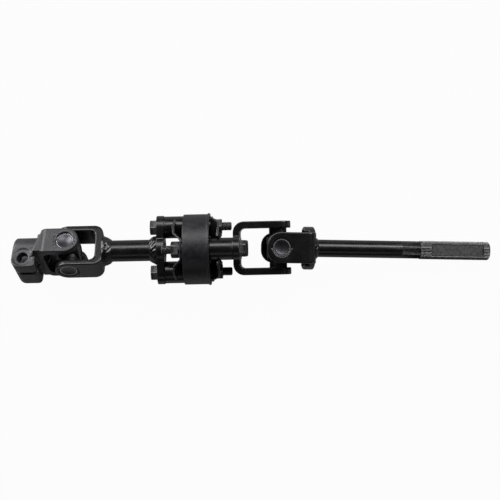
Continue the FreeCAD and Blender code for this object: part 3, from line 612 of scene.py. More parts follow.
class Nodes:
    """Shader nodes of a material or a world."""

    def __init__(self, owner: bpy.types.Material | bpy.types.World) -> None:
        """Start from an empty tree."""
        owner.use_nodes = True
        self.tree = owner.node_tree
        self.tree.nodes.clear()

    def add(
        self,
        kind: str,
        inputs: Mapping[str | int, Any] | None = None,
        links: Mapping[str | int, Socket] | None = None,
        **settings: Any,
    ) -> bpy.types.Node:
        """Add a node with its settings, values and links.

        Args:
            kind: Blender's name for the node, less ShaderNode.
            inputs: Values of its sockets.
            links: Sockets that feed its sockets.
            **settings: Properties of the node.

        Returns:
            The new node.
        """
        node = self.tree.nodes.new(f"ShaderNode{kind}")
        for name, value in settings.items():
            setattr(node, name, value)
        for key, value in (inputs or {}).items():
            node.inputs[key].default_value = value
        for key, socket in (links or {}).items():
            self.tree.links.new(socket, node.inputs[key])
        return node

    def compute(self, operation: str, first: Socket, second: Socket | float) -> Socket:
        """Join a value with a second value or a number by arithmetic."""
        if isinstance(second, float):
            return self.add("Math", {1: second}, {0: first}, operation=operation).outputs[0]
        return self.add("Math", links={0: first, 1: second}, operation=operation).outputs[0]

    def stretch(self, value: Socket, source: Sequence[float], target: Sequence[float] = (0.0, 1.0)) -> Socket:
        """Map a value from one range to another, held at both ends."""
        names = ("From Min", "From Max", "To Min", "To Max")
        return self.add("MapRange", dict(zip(names, (*source, *target))), {"Value": value}).outputs[0]

    def noise(self, place: Socket, size: float, detail: float, roughness: float) -> Socket:
        """Add noise whose features have a size in millimetres."""
        values = {"Scale": 1 / (size * MM), "Detail": detail, "Roughness": roughness}
        return self.add("TexNoise", values, {"Vector": place}).outputs["Fac"]

    def overlay(self, colour: Socket, share: Socket, top: str) -> Socket:
        """Lay a colour over another by a share."""
        return self.add("Mix", {7: linear(top)}, {0: share, 6: colour}, data_type="RGBA").outputs[2]


@dataclass(frozen=True)
class Finish:
    """Surface with a fine grain over a slow change of tone, both from noise of a real size.

    Colours are sRGB hex values. Sizes are in millimetres.
    """

    name: str
    dark: str
    light: str
    roughness: tuple[float, float]
    metallic: float = 0.0
    ior: float | None = 1.5
    tone_size: float = 14.0
    tone_detail: float = 4.0
    tone_roughness: float = 0.6
    tone_ends: tuple[float, float] = (0.8, 1.2)
    gloss_ends: tuple[float, float] = (0.3, 0.7)
    grain_size: float = 1.6
    grain_height: float = 0.02
    grain_detail: float = 3.0
    grain_roughness: float = 0.55
    # Colour of sharp edges: partly worn coat, partly a painted edge highlight
    edge: str | None = None
    edge_start: float = 0.56
    edge_reach: float = 0.05
    edge_break: float = 0.06
    bare: str | None = None
    bare_ends: tuple[float, float] = (0.35, 0.65)
    bare_least: float = 0.5

    def material(self) -> bpy.types.Material:
        """Build the material.

        Returns:
            Blender material with the finish's nodes.
        """
        material = bpy.data.materials.new(self.name)
        nodes = Nodes(material)
        place = nodes.add("TexCoord").outputs["Object"]
        tone = nodes.noise(place, self.tone_size, self.tone_detail, self.tone_roughness)
        grain = nodes.noise(place, self.grain_size, self.grain_detail, self.grain_roughness)
        share = nodes.stretch(nodes.compute("ADD", tone, grain), self.tone_ends)
        ends = {6: linear(self.dark), 7: linear(self.light)}
        colour = nodes.add("Mix", ends, {0: share}, data_type="RGBA").outputs[2]
        if self.edge:
            # Sharp edges are lighter, broken up by the grain: partly the coat worn thin there, partly a painted
            # highlight that stands in for the glint on rounded edges
            curve = nodes.add("NewGeometry").outputs["Pointiness"]
            sharp = nodes.compute("ADD", curve, nodes.compute("MULTIPLY", grain, self.edge_break))
            worn_and_highlit = nodes.stretch(sharp, (self.edge_start, self.edge_start + self.edge_reach))
            colour = nodes.overlay(colour, worn_and_highlit, self.edge)
        if self.bare:
            # Metal shows where the mesh says that the coat is thin, mottled by the grain
            thin = nodes.add("Attribute", attribute_name=THIN_COAT).outputs["Fac"]
            mottle = nodes.stretch(grain, self.bare_ends, (self.bare_least, 1.0))
            colour = nodes.overlay(colour, nodes.compute("MULTIPLY", thin, mottle), self.bare)
        relief = {"Strength": 1.0, "Distance": self.grain_height * MM}
        bump = nodes.add("Bump", relief, {"Height": grain}).outputs[0]
        gloss = nodes.stretch(tone, self.gloss_ends, self.roughness)
        feeds = {"Base Color": colour, "Roughness": gloss, "Normal": bump}
        shader = nodes.add("BsdfPrincipled", {"Metallic": self.metallic}, feeds)
        if self.ior:
            shader.inputs["IOR"].default_value = self.ior
        nodes.add("OutputMaterial", links={"Surface": shader.outputs[0]})
        return material


class Finishes:
    """Materials of the part, one for each slot of the record."""

    # Each edge colour below lightens sharp edges: partly worn coat, partly a painted edge highlight
    by_slot: dict[Slot, Finish] = {
        # Dip paint on a drop forging, whose shot-blasted skin shows through as a matt grey grain
        Slot.FORGED_YOKE: Finish("forging_in_dip_paint", "#1e1e20", "#303033", (0.36, 0.46), grain_size=0.9,
                                 grain_height=0.03, edge="#48484a"),
        # Cathodic dip paint on pressed steel: thin, black and satin, with a faint orange peel
        Slot.PAINTED_STEEL: Finish("black_dip_paint", "#060607", "#0e0e0f", (0.24, 0.33), grain_size=1.8,
                                   grain_height=0.010, edge="#4c4c4e"),
        # Drawn bearing steel under a thin smoke-black oxide
        Slot.BEARING_STEEL: Finish("oxidised_bearing_steel", "#3a3a3e", "#4c4c50", (0.30, 0.40), metallic=0.9,
                                   ior=None, grain_size=1.0, grain_height=0.006, bare="#c8c8cc"),
        # Ground and lapped rollers
        Slot.NEEDLE_STEEL: Finish("ground_needle_steel", "#8a8a8c", "#9c9c9e", (0.18, 0.24), metallic=1.0,
                                  ior=None, grain_size=0.8, grain_height=0.004),
        # Forged cross with phosphated arms
        Slot.FORGED_CROSS: Finish("phosphated_forging", "#0b0b0c", "#19191b", (0.40, 0.52), metallic=0.3,
                                  ior=None, grain_size=1.2, grain_height=0.03, edge="#58585a"),
        # Nitrile rubber of lip seals
        Slot.SEAL_RUBBER: Finish("nitrile_rubber", "#0a0a0a", "#131313", (0.55, 0.7), ior=1.52,
                                 grain_size=0.8, grain_height=0.01),
        # Weld metal under paint: coarse and glossy on its ripples
        Slot.WELD_BEAD: Finish("painted_weld_metal", "#060607", "#141416", (0.22, 0.34), grain_height=0.05),
        # Manganese phosphate on bolts and nuts: dark grey, matt and slightly crystalline
        Slot.BOLT_STEEL: Finish("manganese_phosphate", "#1e1e20", "#303034", (0.34, 0.46), metallic=0.5,
                                ior=None, grain_size=0.9, grain_height=0.012, edge="#6a6a6c"),
        # Spring-steel plate, painted, its sheared rim bright: partly where the coat has rubbed off, partly a
        # painted edge highlight
        Slot.STOPPER_PLATE: Finish("painted_spring_plate", "#0e0e0f", "#1e1e20", (0.30, 0.42),
                                   grain_height=0.012, edge="#77777a", edge_reach=0.03),
        # Paint on the rolled ring, handled and a little mottled, its edges lighter: partly worn, partly a painted
        # edge highlight
        Slot.COUPLING_RING: Finish("mottled_ring_paint", "#060608", "#15151a", (0.38, 0.54), tone_size=6.0,
                                   grain_size=1.4, edge="#4a4a50"),
        # Moulded natural rubber: dull, with the bloom that gives it a grey cast
        Slot.COUPLING_RUBBER: Finish("moulded_natural_rubber", "#0a0a0b", "#151516", (0.6, 0.8), ior=1.52,
                                     grain_size=1.4, grain_height=0.03),
        # Dip paint over a drawn bar: smoother and glossier than on the forging, and thin over the spline
        Slot.SHAFT_STEEL: Finish("dip_paint_on_drawn_bar", "#050506", "#0b0b0c", (0.24, 0.30), grain_size=2.2,
                                 grain_height=0.002, bare="#b4b4b6"),
    }

    def __init__(self) -> None:
        """Build each material once."""
        self.materials = {slot: finish.material() for slot, finish in self.by_slot.items()}

    def dress(self, piece: bpy.types.Object, slot: Slot) -> None:
        """Give a piece the material of a slot."""
        piece.data.materials.clear()
        piece.data.materials.append(self.materials[slot])


@dataclass
class Assembly:
    """Sub-assembly that adds pieces to the part."""

    finishes: Finishes

    def add(self, piece: bpy.types.Object, seat: Seat, slot: Slot) -> None:
        """Dress a piece, fix it to its body and let it stand for its CAD node.

        Args:
            piece: The new piece.
            seat: CAD node that it replaces, and the body that it rides on.
            slot: Material slot that it is dressed from.
        """
        self.finishes.dress(piece, slot)
        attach(piece, seat.body.value)
        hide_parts(seat.node)
        LOG.info("%s rides on %s", piece.name, seat.body.value)

    def lay(self, mesh: Mesh, seat: Seat, slot: Slot) -> None:
        """Add a mesh that is drawn in its seat's frame, under the mesh's own name."""
        self.add(finish_mesh(mesh.name, mesh, seat.place), seat, slot)

    def turn(
        self, seat: Seat, kind: str, slot: Slot, corners: Sequence[Corner], closed: bool = True, **how: Any
    ) -> None:
        """Turn a rounded outline into a piece, named after its node and its kind.

        Args:
            seat: CAD node that it replaces.
            kind: Second half of its name.
            slot: Material slot that it is dressed from.
            corners: Corners of the outline.
            closed: Whether the outline is a closed loop.
            **how: Ring, shape and copies of the turned mesh.
        """
        profile = rounded_outline(corners, closed)
        self.lay(turned_mesh(f"{seat.node}_{kind}", profile, closed, **how), seat, slot)


def dress_all_nodes(finishes: Finishes) -> None:
    """Give every CAD node the finish of its slot."""
    for subpart in frame["record"]["subparts"]:
        finishes.dress(frame["nodes"][subpart["node"]], Slot(subpart["material_slot"]))


@dataclass(frozen=True)
class Softening(Seat):
    """How a CAD node's edges are rounded, and what it is dressed in. Sizes are in millimetres."""

    slot: Slot
    voxel: float = 0.5
    passes: int = 10
    kept: float = 0.45
    web: WebFillet | None = None
    cup_axis: int | None = None
    staking: Staking = Staking()


FORGED_AND_PRESSED = (
    Softening("clamp_yoke", CLAMP, Body.CLAMP_YOKE, Slot.FORGED_YOKE, kept=0.6, web=WebFillet(), cup_axis=2),
    Softening("weld_yoke", WELD_YOKE, Body.FRONT_SHAFT, Slot.PAINTED_STEEL, passes=20, kept=0.6, cup_axis=1),
    Softening("coupling_yoke", COUPLING_YOKE, Body.COUPLING, Slot.PAINTED_STEEL, passes=8),
    Softening("shaft_fork", SHAFT, Body.SPLINED_SHAFT, Slot.PAINTED_STEEL, passes=20, kept=0.6, cup_axis=2,
              staking=Staking(ring=8.9, angles=(0.0,))),
    Softening("left_cross", LEFT_CROSS, Body.LEFT_CROSS, Slot.FORGED_CROSS, voxel=0.4, passes=6),
    Softening("right_cross", RIGHT_CROSS, Body.RIGHT_CROSS, Slot.FORGED_CROSS, voxel=0.4, passes=6),
    Softening("flange_plate", MIDDLE, Body.FRONT_SHAFT, Slot.PAINTED_STEEL, passes=7),
    Softening("flange_stopper_plate", MIDDLE, Body.FRONT_SHAFT, Slot.STOPPER_PLATE, voxel=0.38, passes=4),
    Softening("yoke_stopper_plate", CROSSWISE, Body.COUPLING, Slot.STOPPER_PLATE, voxel=0.38, passes=4),
    Softening("rubber_disc", MIDDLE, Body.COUPLING, Slot.COUPLING_RUBBER, voxel=0.7, passes=4),
)


@dataclass
class Joint(Assembly):
    """Bearing cups, needles and seals of a universal joint. Lengths are in millimetres."""

    cup_wall: float = 1.0
    cup_floor: float = 1.6
    cup_break: float = 0.3
    floor_round: float = 0.5
    dish_depth: float = 1.1
    dish_rim: float = 1.5
    dish_steps: int = 10
    lip_width: float = 0.5
    lip_round: float = 0.4
    rim_round: float = 0.35
    bright_from: float = 0.65
    bright_to: float = 1.0
    needles: int = 20
    needle_round: float = 0.5
    needle_ring: int = 12
    seal_lip: float = 0.6
    seal_taper: float = 1.2
    seal_break: float = 0.3
    seal_overlap: float = 0.1
    groove_round: float = 0.2
    groove_shares: tuple[float, float] = (0.5, 0.4)
    outer_share: float = 0.8

    def cups(self, seat: Seat) -> None:
        """Draw the two closed cups of a yoke, each with a dished face.

        Args:
            seat: CAD node of the cups, in a frame whose X axis runs through both.
        """
        _, high = seat.span()
        end, radius = high.x, high.y
        inner, dish = radius - self.cup_wall, radius - self.dish_rim
        mouth = seat.near_end()
        floor = end - self.dish_depth - self.cup_floor / 2
        steps = evenly(0, 1, self.dish_steps)
        bowl = [Corner(end - self.dish_depth * (1 - share**2), dish * share) for share in steps]
        profile = rounded_outline(
            bowl + [
                Corner(end, dish + self.lip_width, self.lip_round),
                Corner(end, dish + self.bright_from),
                Corner(end, dish + self.bright_to),
                Corner(end, radius, self.rim_round),
                Corner(mouth, radius, self.cup_break),
                Corner(mouth, inner, self.cup_break),
                Corner(floor, inner, self.floor_round),
                Corner(floor, 0.0),
            ],
            closed=False,
        )
        mesh = turned_mesh(f"{seat.node}_drawn", profile, closed=False, copies=BOTH_ENDS)
        near, far = dish + self.bright_from - HAIR, dish + self.bright_to + HAIR
        thin_where(mesh, lambda at: float(abs(at.x) > end - HAIR and near < from_axis(at) < far))
        self.lay(mesh, seat, Slot.BEARING_STEEL)

    def rollers(self, seat: Seat) -> None:
        """Lay the needle rollers round both trunnions of a yoke.

        Args:
            seat: CAD node of the needle sets, in a frame whose X axis runs through both.
        """
        _, high = seat.span()
        near, far = seat.near_end(), high.x
        half_step = math.sin(math.pi / self.needles)
        track = high.y * half_step / (1 + half_step)
        ends = self.needle_round
        corners = [Corner(near, 0.0), Corner(near, track, ends), Corner(far, track, ends), Corner(far, 0.0)]
        spin = [Matrix.Rotation(FULL_TURN * step / self.needles, 4, "X") for step in range(self.needles)]
        outward = moved_sideways(high.y - track)
        copies = [turn @ around @ outward for turn in BOTH_ENDS for around in spin]
        self.turn(seat, "rollers", Slot.NEEDLE_STEEL, corners, closed=False, ring=self.needle_ring,
                  copies=copies)

    def seals(self, seat: Seat) -> None:
        """Draw the four lip seals of a cross.

        Args:
            seat: CAD node of the seals, in the frame of the cross.
        """
        points = local_points(seat.node, seat.place @ X_TO_Z)
        face = max(point.x for point in points)
        width = face - min(point.x for point in points if point.x > face / 2 and abs(point.y) < face / 2)
        radius = max(from_axis(point) for point in points if point.x > face * self.outer_share)
        bore = radius - 2 * width + self.seal_overlap
        shoulder, groove = self.groove_shares
        corners = [
            Corner(face - width, bore),
            Corner(face - width, radius, self.seal_break),
            Corner(face - width * shoulder, radius, self.seal_break),
            Corner(face - width * groove, radius - self.seal_lip, self.groove_round),
            Corner(face, radius - self.seal_lip * self.seal_taper, self.seal_break),
            Corner(face, bore),
        ]
        copies = [turn @ half for turn in (X_TO_Y, X_TO_Z) for half in BOTH_ENDS]
        self.turn(seat, "lips", Slot.SEAL_RUBBER, corners, copies=copies)


RING = Seat("coupling_ring", MIDDLE, Body.COUPLING)


@dataclass
class Coupling(Assembly):
    """Ring, sleeves, bolts and nuts of the rubber coupling. Lengths are in millimetres."""

    ring_wall: float = 1.8
    lip_width: float = 1.6
    lip_rise: float = 0.8
    lip_round: float = 0.5
    lip_foot: float = 0.6
    edge_round: float = 0.7
    hex_flats: float = 13.0
    hex_ring: int = 96
    bevel_loss: float = 0.14
    bevel_power: float = 1.2
    bevel_steps: int = 5
    shank_radius: float = 4.0
    thread_pitch: float = 1.25
    thread_depth: float = 0.62
    thread_margin: float = 0.1
    thread_ring: int = 32
    rows_per_turn: int = 8
    tip_length: float = 0.9
    tip_shoulder: float = 0.35
    stud_overlap: float = 0.5
    head_height: float = 6.0
    head_bevel: float = 0.8
    head_dish: float = 0.25
    dish_share: float = 0.72
    land_share: float = 0.76
    nut_bevel: float = 0.9
    nut_gap: float = 0.05
    nut_sink: float = 0.2
    countersink: tuple[float, float] = (0.6, 0.7)
    collar_height: float = 1.6
    collar_radius: float = 7.4
    collar_foot: float = 0.3
    collar_round: float = 0.6
    bush_radius: float = 8.5
    bush_round: float = 0.4
    bush_gap: float = 0.3
    sleeve_bore: float = 4.1
    bore_round: float = 0.3

    def ring(self) -> None:
        """Draw the steel ring, with its edges turned in and a rolled lip on the right."""
        low, high = RING.span()
        left, right, lip = low.x, high.x, high.y
        outer = lip - self.lip_rise
        inner = outer - self.ring_wall
        corners = [
            Corner(left, inner, self.edge_round / 2),
            Corner(left, outer, self.edge_round),
            Corner(right - self.lip_width - self.lip_rise, outer, self.lip_foot),
            Corner(right - self.lip_width, lip, self.lip_round),
            Corner(right, lip, self.edge_round),
            Corner(right, inner, self.edge_round / 2),
        ]
        self.turn(RING, "rolled", Slot.COUPLING_RING, corners, ring=LARGE_RING)

    def bevel(self, face: float, rise: float, shares: Sequence[float]) -> Profile:
        """Draw the bevel of a hexagon's face, at shares of its height and of its loss of width."""
        corner = self.hex_flats / math.sqrt(3)
        return [
            (face + rise * share**self.bevel_power, corner * (1 - self.bevel_loss * (1 - share)))
            for share in shares
        ]

    def sides(self, high: Vector, share: float) -> tuple[Matrix, Matrix]:
        """Find the shifts to the two pieces of a pair that lie apart in Y.

        Args:
            high: High corner of the pair's box.
            share: Half the width of a piece over half its height.

        Returns:
            Shift to each piece.
        """
        offset = high.y - high.z * share
        return moved_sideways(offset), moved_sideways(-offset)

    def sleeves(self, seat: Seat) -> None:
        """Draw two spacer sleeves with their edges broken.

        Args:
            seat: CAD node of the sleeves.
        """
        low, high = seat.span()
        step = RING.span()[0].x - self.bush_gap
        corners = [
            Corner(low.x, self.sleeve_bore, self.bore_round),
            Corner(low.x, high.z, self.edge_round),
            Corner(step, high.z, self.edge_round),
            Corner(step, self.bush_radius),
            Corner(high.x, self.bush_radius, self.bush_round),
            Corner(high.x, self.sleeve_bore, self.bore_round),
        ]
        self.turn(seat, "turned", Slot.PAINTED_STEEL, corners, ring=LARGE_RING, copies=self.sides(high, 1.0))

    def bolts(self, seat: Seat) -> None:
        """Draw two hexagon bolts whose studs carry a thread.

        Args:
            seat: CAD node of the bolts.
        """
        low, high = seat.span()
        copies = self.sides(high, HEX_SHARE)
        face, end, shank = low.x, high.x, self.shank_radius
        under = face + self.head_height
        corner = self.hex_flats / math.sqrt(3)
        dish = face + self.head_dish
        head = [(dish, 0.0), (dish, corner * self.dish_share), (face, corner * self.land_share)]
        head += [*self.bevel(face, self.head_bevel, evenly(0, 1, self.bevel_steps))]
        head += [(under, corner), (under, shank)]
        heads = turned_mesh(f"{seat.node}_heads", head, closed=False, ring=self.hex_ring,
                            shape=six_sided(self.hex_flats), copies=copies)
        start = RING.span()[1].x
        rows = int((end - start) / self.thread_pitch * self.rows_per_turn)
        tip, point = end - self.tip_length, shank - self.tip_length
        stud = [(under - self.stud_overlap, shank), (start - self.thread_margin, shank)]
        stud += [(along, shank) for along in evenly(start, tip, rows)]
        stud += [(end - self.tip_length / 2, shank - self.tip_shoulder), (end, point), (end, 0.0)]
        studs = turned_mesh(f"{seat.node}_studs", stud, closed=False, ring=self.thread_ring,
                            shape=threaded(start, self.thread_pitch, self.thread_depth), copies=copies)
        piece = finish_mesh(f"{seat.node}_threaded", merged(heads, studs), seat.place)
        self.add(piece, seat, Slot.BOLT_STEEL)

    def nuts(self, seat: Seat) -> None:
        """Draw two nuts, each with a round collar under its hexagon.

        Args:
            seat: CAD node of the nuts.
        """
        low, high = seat.span()
        copies = self.sides(high, HEX_SHARE)
        foot, face = low.x, high.x
        corner = self.hex_flats / math.sqrt(3)
        bore = self.shank_radius + self.nut_gap
        top = foot + self.collar_height
        collar = rounded_outline(
            [
                Corner(foot, bore),
                Corner(foot, self.collar_radius, self.collar_foot),
                Corner(top, self.collar_radius, self.collar_round),
                Corner(top, bore),
            ],
            closed=True,
        )
        collars = turned_mesh(f"{seat.node}_collars", collar, closed=True, copies=copies)
        under = top - self.nut_sink
        deep, wide = self.countersink
        bevel = self.bevel(face, -self.nut_bevel, evenly(1, 0, self.bevel_steps))
        hexagon = [(under, bore), (under, corner), *bevel, (face, bore + wide), (face - deep, bore)]
        hexagons = turned_mesh(f"{seat.node}_hexagons", hexagon, closed=True, ring=self.hex_ring,
                               shape=six_sided(self.hex_flats), copies=copies)
        piece = finish_mesh(f"{seat.node}_collared", merged(hexagons, collars), seat.place)
        self.add(piece, seat, Slot.BOLT_STEEL)


@dataclass
class Welds(Assembly):
    """Drive tube, and the weld beads laid in overlapping drops. Lengths are in millimetres."""

    end_round: float = 0.3
    root_depth: float = 0.4
    crown_fall: float = 0.93
    crown_power: float = 1.7
    crown_steps: int = 14
    bead_ring: int = 240

    def bead(self, seat: Seat, core: float, passes: int, seed: float) -> None:
        """Draw a bead with its drops.

        Args:
            seat: CAD node of the bead, in a frame whose X axis is the tube's.
            core: Radius of the tube.
            passes: Drops round the bead.
            seed: Shift that sets one bead apart from the next.
        """
        low, high = seat.span()
        thickest = max(seat.points(), key=from_axis).x
        root, toe = (low.x, high.x) if thickest < (low.x + high.x) / 2 else (high.x, low.x)
        height = high.z - core
        crown = [
            (root + (toe - root) * share, core + height * (1 - self.crown_fall * share**self.crown_power))
            for share in evenly(0, 1, self.crown_steps)
        ]
        profile = [(root, core - self.root_depth)] + crown + [(toe, core - self.root_depth)]
        mesh = turned_mesh(f"{seat.node}_laid", profile, closed=True, ring=self.bead_ring,
                           shape=rippled(core, height, passes, seed))
        self.lay(mesh, seat, Slot.WELD_BEAD)

    def tube(self, seat: Seat) -> None:
        """Draw the tube between the welds, with its ends broken.

        Args:
            seat: CAD node of the tube, in a frame whose X axis is the tube's.
        """
        low, high = seat.span()
        bore = min(from_axis(point) for point in seat.points())
        outline = ((low.x, bore), (low.x, high.y), (high.x, high.y), (high.x, bore))
        corners = [Corner(*corner, self.end_round) for corner in outline]
        self.turn(seat, "drawn", Slot.PAINTED_STEEL, corners, ring=LARGE_RING)


@dataclass
class SplinedShaft(Assembly):
    """Drawn bar with a rolled spline and a milled flat. Lengths are in millimetres."""

    radius: float = 8.0
    tip_radius: float = 8.5
    spline_length: float = 66.0
    run_in: float = 1.2
    teeth: int = 36
    points_per_tooth: int = 12
    plain_start: float = 2.0
    plain_steps: int = 6
    run_up_from: float = 0.25
    run_up_steps: int = 3
    depth: float = 0.75
    core_depth: float = 1.6
    end_chamfer: float = 1.4
    end_round: float = 0.1
    centre_radius: float = 2.4
    centre_tip: float = 0.4
    flat_length: float = 49.4
    flat_height: float = 6.5
    flat_step: float = 0.02
    flat_slack: float = 0.001
    flat_margin: float = 0.9
    flat_steps: int = 10
    flat_wear: float = 0.16
    # Length at each end of the flat left unworn: a painted shade line where the flat meets its step
    painted_shade_end: float = 0.5
    tip_wear: float = 0.9
    tip_share: float = 0.3

    def build(self, seat: Seat) -> None:
        """Draw the shaft, with the flat between its two steps.

        Args:
            seat: CAD node of the shaft, in the shaft's own frame.
        """
        low, high = seat.span()
        start, end = low.x, high.x
        flat = entry_named(frame["record"]["mounts"], "locating_flat")
        middle = seat.place.inverted() @ Vector(flat["pos_m"]) / MM
        flat_start, flat_end = middle.x - self.flat_length / 2, middle.x + self.flat_length / 2
        spline_start = end - self.spline_length
        rise = self.tip_radius - self.radius
        chamfer = self.tip_radius - self.end_chamfer
        rows = [(start, 0.0), (start, self.radius)]
        plain = evenly(start + self.plain_start, spline_start, self.plain_steps)
        rows += [(along, self.radius) for along in plain]
        run_up = evenly(self.run_up_from, 1, self.run_up_steps)
        rows += [(spline_start + rise * share, self.radius + rise * share) for share in run_up]
        crests = [
            spline_start + self.run_in,
            flat_start - self.flat_step,
            flat_start,
            *evenly(flat_start + self.flat_margin, flat_end - self.flat_margin, self.flat_steps),
            flat_end,
            flat_end + self.flat_step,
            end - self.end_chamfer,
        ]
        rows += [(along, self.tip_radius) for along in crests]
        rows += [(end - self.end_round, chamfer + self.end_round), (end, chamfer - self.end_round)]
        centre = end - self.centre_radius
        rows += [(end, self.centre_radius), (centre, self.centre_tip), (centre, 0.0)]
        teeth = splined(spline_start, self.teeth, self.depth, self.radius - self.core_depth)
        mesh = turned_mesh("splined_shaft_cut", rows, closed=False, ring=self.teeth * self.points_per_tooth,
                           shape=teeth)
        for vertex in mesh.vertices:
            if flat_start - self.flat_slack <= vertex.co.x <= flat_end + self.flat_slack:
                vertex.co.z = min(vertex.co.z, self.flat_height)
        tip = self.tip_radius - self.tip_share * self.depth

        # Bare metal on the worn flat and on the worn tooth tips; the flat's ends stay dark, a painted shade in the
        # corners of its steps
        def wear_and_painted_shade(at: Vector) -> float:
            if flat_start <= at.x <= flat_end and at.z > self.flat_height - HAIR:
                inside = flat_start + self.painted_shade_end < at.x < flat_end - self.painted_shade_end
                return self.flat_wear if inside else 0.0
            return self.tip_wear if at.x > spline_start and from_axis(at) > tip else 0.0

        thin_where(mesh, wear_and_painted_shade)
        self.lay(mesh, seat, Slot.SHAFT_STEEL)


def build_part(finishes: Finishes) -> None:
    """Put the detailed pieces over the CAD nodes.

    Args:
        finishes: Materials of the part.
    """
    assembly = Assembly(finishes)
    for soft in FORGED_AND_PRESSED:
        assembly.add(softened(soft), soft, soft.slot)
    joint = Joint(finishes)
    for yoke, place, body in (
        ("clamp_yoke", CLAMP @ X_TO_Z, Body.CLAMP_YOKE),
        ("weld_yoke", WELD_YOKE @ X_TO_Y, Body.FRONT_SHAFT),
        ("coupling_yoke", COUPLING_YOKE @ X_TO_Y, Body.COUPLING),
        ("shaft_fork", SHAFT @ X_TO_Z, Body.SPLINED_SHAFT),
    ):
        joint.cups(Seat(f"{yoke}_bearing_cups", place, body))
        joint.rollers(Seat(f"{yoke}_needle_sets", place, body))
    joint.seals(Seat("left_cross_seals", LEFT_CROSS, Body.LEFT_CROSS))
    joint.seals(Seat("right_cross_seals", RIGHT_CROSS, Body.RIGHT_CROSS))
    coupling = Coupling(finishes)
    coupling.ring()
    for side, place, body in (("flange", MIDDLE, Body.FRONT_SHAFT), ("yoke", CROSSWISE, Body.COUPLING)):
        coupling.sleeves(Seat(f"{side}_bolt_sleeves", place, body))
        coupling.bolts(Seat(f"{side}_bolts", place, body))
        coupling.nuts(Seat(f"{side}_bolt_nuts", place, body))
    tube = Seat("drive_tube", MIDDLE, Body.FRONT_SHAFT)
    core = tube.span()[1].y
    welds = Welds(finishes)
    welds.tube(tube)
    welds.bead(Seat("yoke_weld_bead", MIDDLE, Body.FRONT_SHAFT), core, passes=15, seed=0.4)
    welds.bead(Seat("flange_weld_bead", MIDDLE, Body.FRONT_SHAFT), core, passes=14, seed=1.9)
    shaft = SplinedShaft(finishes)
    welds.bead(Seat("shaft_weld_bead", SHAFT, Body.SPLINED_SHAFT), shaft.radius, passes=13, seed=3.1)
    shaft.build(Seat("splined_shaft", SHAFT, Body.SPLINED_SHAFT))


# Studio


@dataclass(frozen=True)
class Lamp:
    """Soft box: its place, its width and depth in metres, and its power in watts."""

    name: str
    at: tuple[float, float, float]
    size: tuple[float, float]
    watts: float


# A key beyond the part, one lamp to each side, and a weak fill on the near side
LAMPS = (
    Lamp("key", (0.0, 0.95, 1.05), (1.6, 0.5), 15.0),
    Lamp("left", (-1.2, 0.8, 0.4), (0.9, 0.6), 20.0),
    Lamp("right", (1.1, 0.8, 0.85), (0.8, 0.6), 18.0),
    Lamp("fill", (0.0, -1.1, 0.9), (1.6, 0.4), 1.0),
)


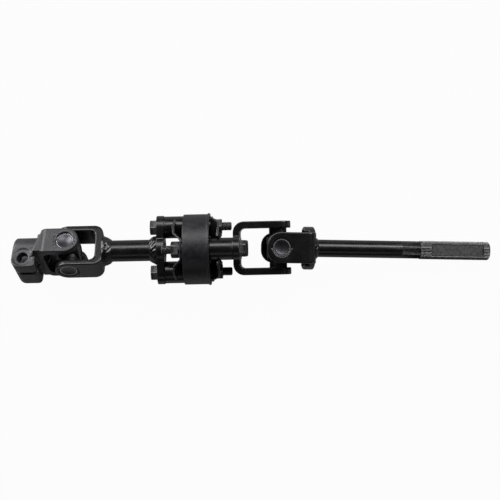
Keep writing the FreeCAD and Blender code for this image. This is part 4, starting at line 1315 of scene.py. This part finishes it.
@dataclass
class Studio:
    """Pale floor, soft lamps and the camera above the part. Lengths are in metres."""

    photo_pixels: int = 500
    mm_per_pixel: float = 0.9118
    camera_pixels: float = 1500.0
    aim_x: float = -0.0023
    aim_y: float = -0.0016
    roll_deg: float = -1.2
    sensor_mm: float = 36.0
    view_depth: float = 20.0
    floor_size: float = 4.0
    floor_white: float = 0.965
    table_colour: str = "#8c8c8c"
    floor_in_gloss: float = 0.14
    room_light: float = 0.03

    def build(self) -> None:
        """Make the floor, the lamps, the world and the camera."""
        self.make_floor()
        for lamp in LAMPS:
            self.hang_lamp(lamp)
        self.make_world()
        self.make_camera()
        bpy.context.scene.view_settings.view_transform = "Standard"

    def make_floor(self) -> None:
        """Lay the pale floor that the part rests on."""
        half = self.floor_size / 2
        corners = [(-half, -half, 0), (half, -half, 0), (half, half, 0), (-half, half, 0)]
        mesh = bpy.data.meshes.new("floor")
        mesh.from_pydata(corners, [], [(0, 1, 2, 3)])
        floor = bpy.data.objects.new("floor", mesh)
        bpy.context.scene.collection.objects.link(floor)
        mesh.materials.append(self.floor_material())

    def floor_material(self) -> bpy.types.Material:
        """Make a white table top that still takes a faint shadow."""
        material = bpy.data.materials.new("white_table")
        nodes = Nodes(material)
        rays = nodes.add("LightPath").outputs
        mirrored = nodes.compute("MULTIPLY", rays["Is Glossy Ray"], self.floor_in_gloss)
        seen = nodes.compute("MAXIMUM", rays["Is Camera Ray"], rays["Is Transmission Ray"])
        direct = nodes.compute("MULTIPLY", seen, self.floor_white)
        share = nodes.compute("MAXIMUM", direct, mirrored)
        matt = nodes.add("BsdfDiffuse", {"Color": linear(self.table_colour)})
        white = nodes.add("Emission", {"Color": WHITE, "Strength": 1.0})
        mix = nodes.add("MixShader", links={0: share, 1: matt.outputs[0], 2: white.outputs[0]})
        nodes.add("OutputMaterial", links={"Surface": mix.outputs[0]})
        return material

    def hang_lamp(self, lamp: Lamp) -> None:
        """Hang an area lamp that points at the part."""
        data = bpy.data.lights.new(lamp.name, "AREA")
        data.shape = "RECTANGLE"
        data.size, data.size_y = lamp.size
        data.energy = lamp.watts
        hung = bpy.data.objects.new(lamp.name, data)
        hung.location = lamp.at
        hung.rotation_euler = (COUPLING_POINT - Vector(lamp.at)).to_track_quat("-Z", "Y").to_euler()
        bpy.context.scene.collection.objects.link(hung)

    def make_world(self) -> None:
        """Fill the room with a weak even light, behind a white backdrop."""
        world = bpy.data.worlds.new("room")
        bpy.context.scene.world = world
        nodes = Nodes(world)
        room = nodes.add("Background", {"Color": WHITE, "Strength": self.room_light})
        white = nodes.add("Background", {"Color": WHITE, "Strength": 1.0})
        seen = nodes.add("LightPath").outputs["Is Camera Ray"]
        mix = nodes.add("MixShader", links={0: seen, 1: room.outputs[0], 2: white.outputs[0]})
        nodes.add("OutputWorld", links={"Surface": mix.outputs[0]})

    def make_camera(self) -> None:
        """Hang the camera straight above the part, as far away as the photo's perspective shows."""
        distance = self.camera_pixels * self.mm_per_pixel * MM
        data = bpy.data.cameras.new("camera")
        data.sensor_width = self.sensor_mm
        data.lens = self.sensor_mm * self.camera_pixels / self.photo_pixels
        data.clip_end = self.view_depth
        camera = bpy.data.objects.new("camera", data)
        camera.location = (self.aim_x, self.aim_y, COUPLING_POINT.z + distance)
        camera.rotation_euler = (0.0, 0.0, math.radians(self.roll_deg))
        bpy.context.scene.collection.objects.link(camera)
        bpy.context.scene.camera = camera


def main() -> None:
    """Build the studio and the part."""
    logging.basicConfig(level=logging.INFO, format="%(name)s: %(message)s")
    finishes = Finishes()
    dress_all_nodes(finishes)
    build_part(finishes)
    Studio().build()


if __name__ == "__main__":
    main()
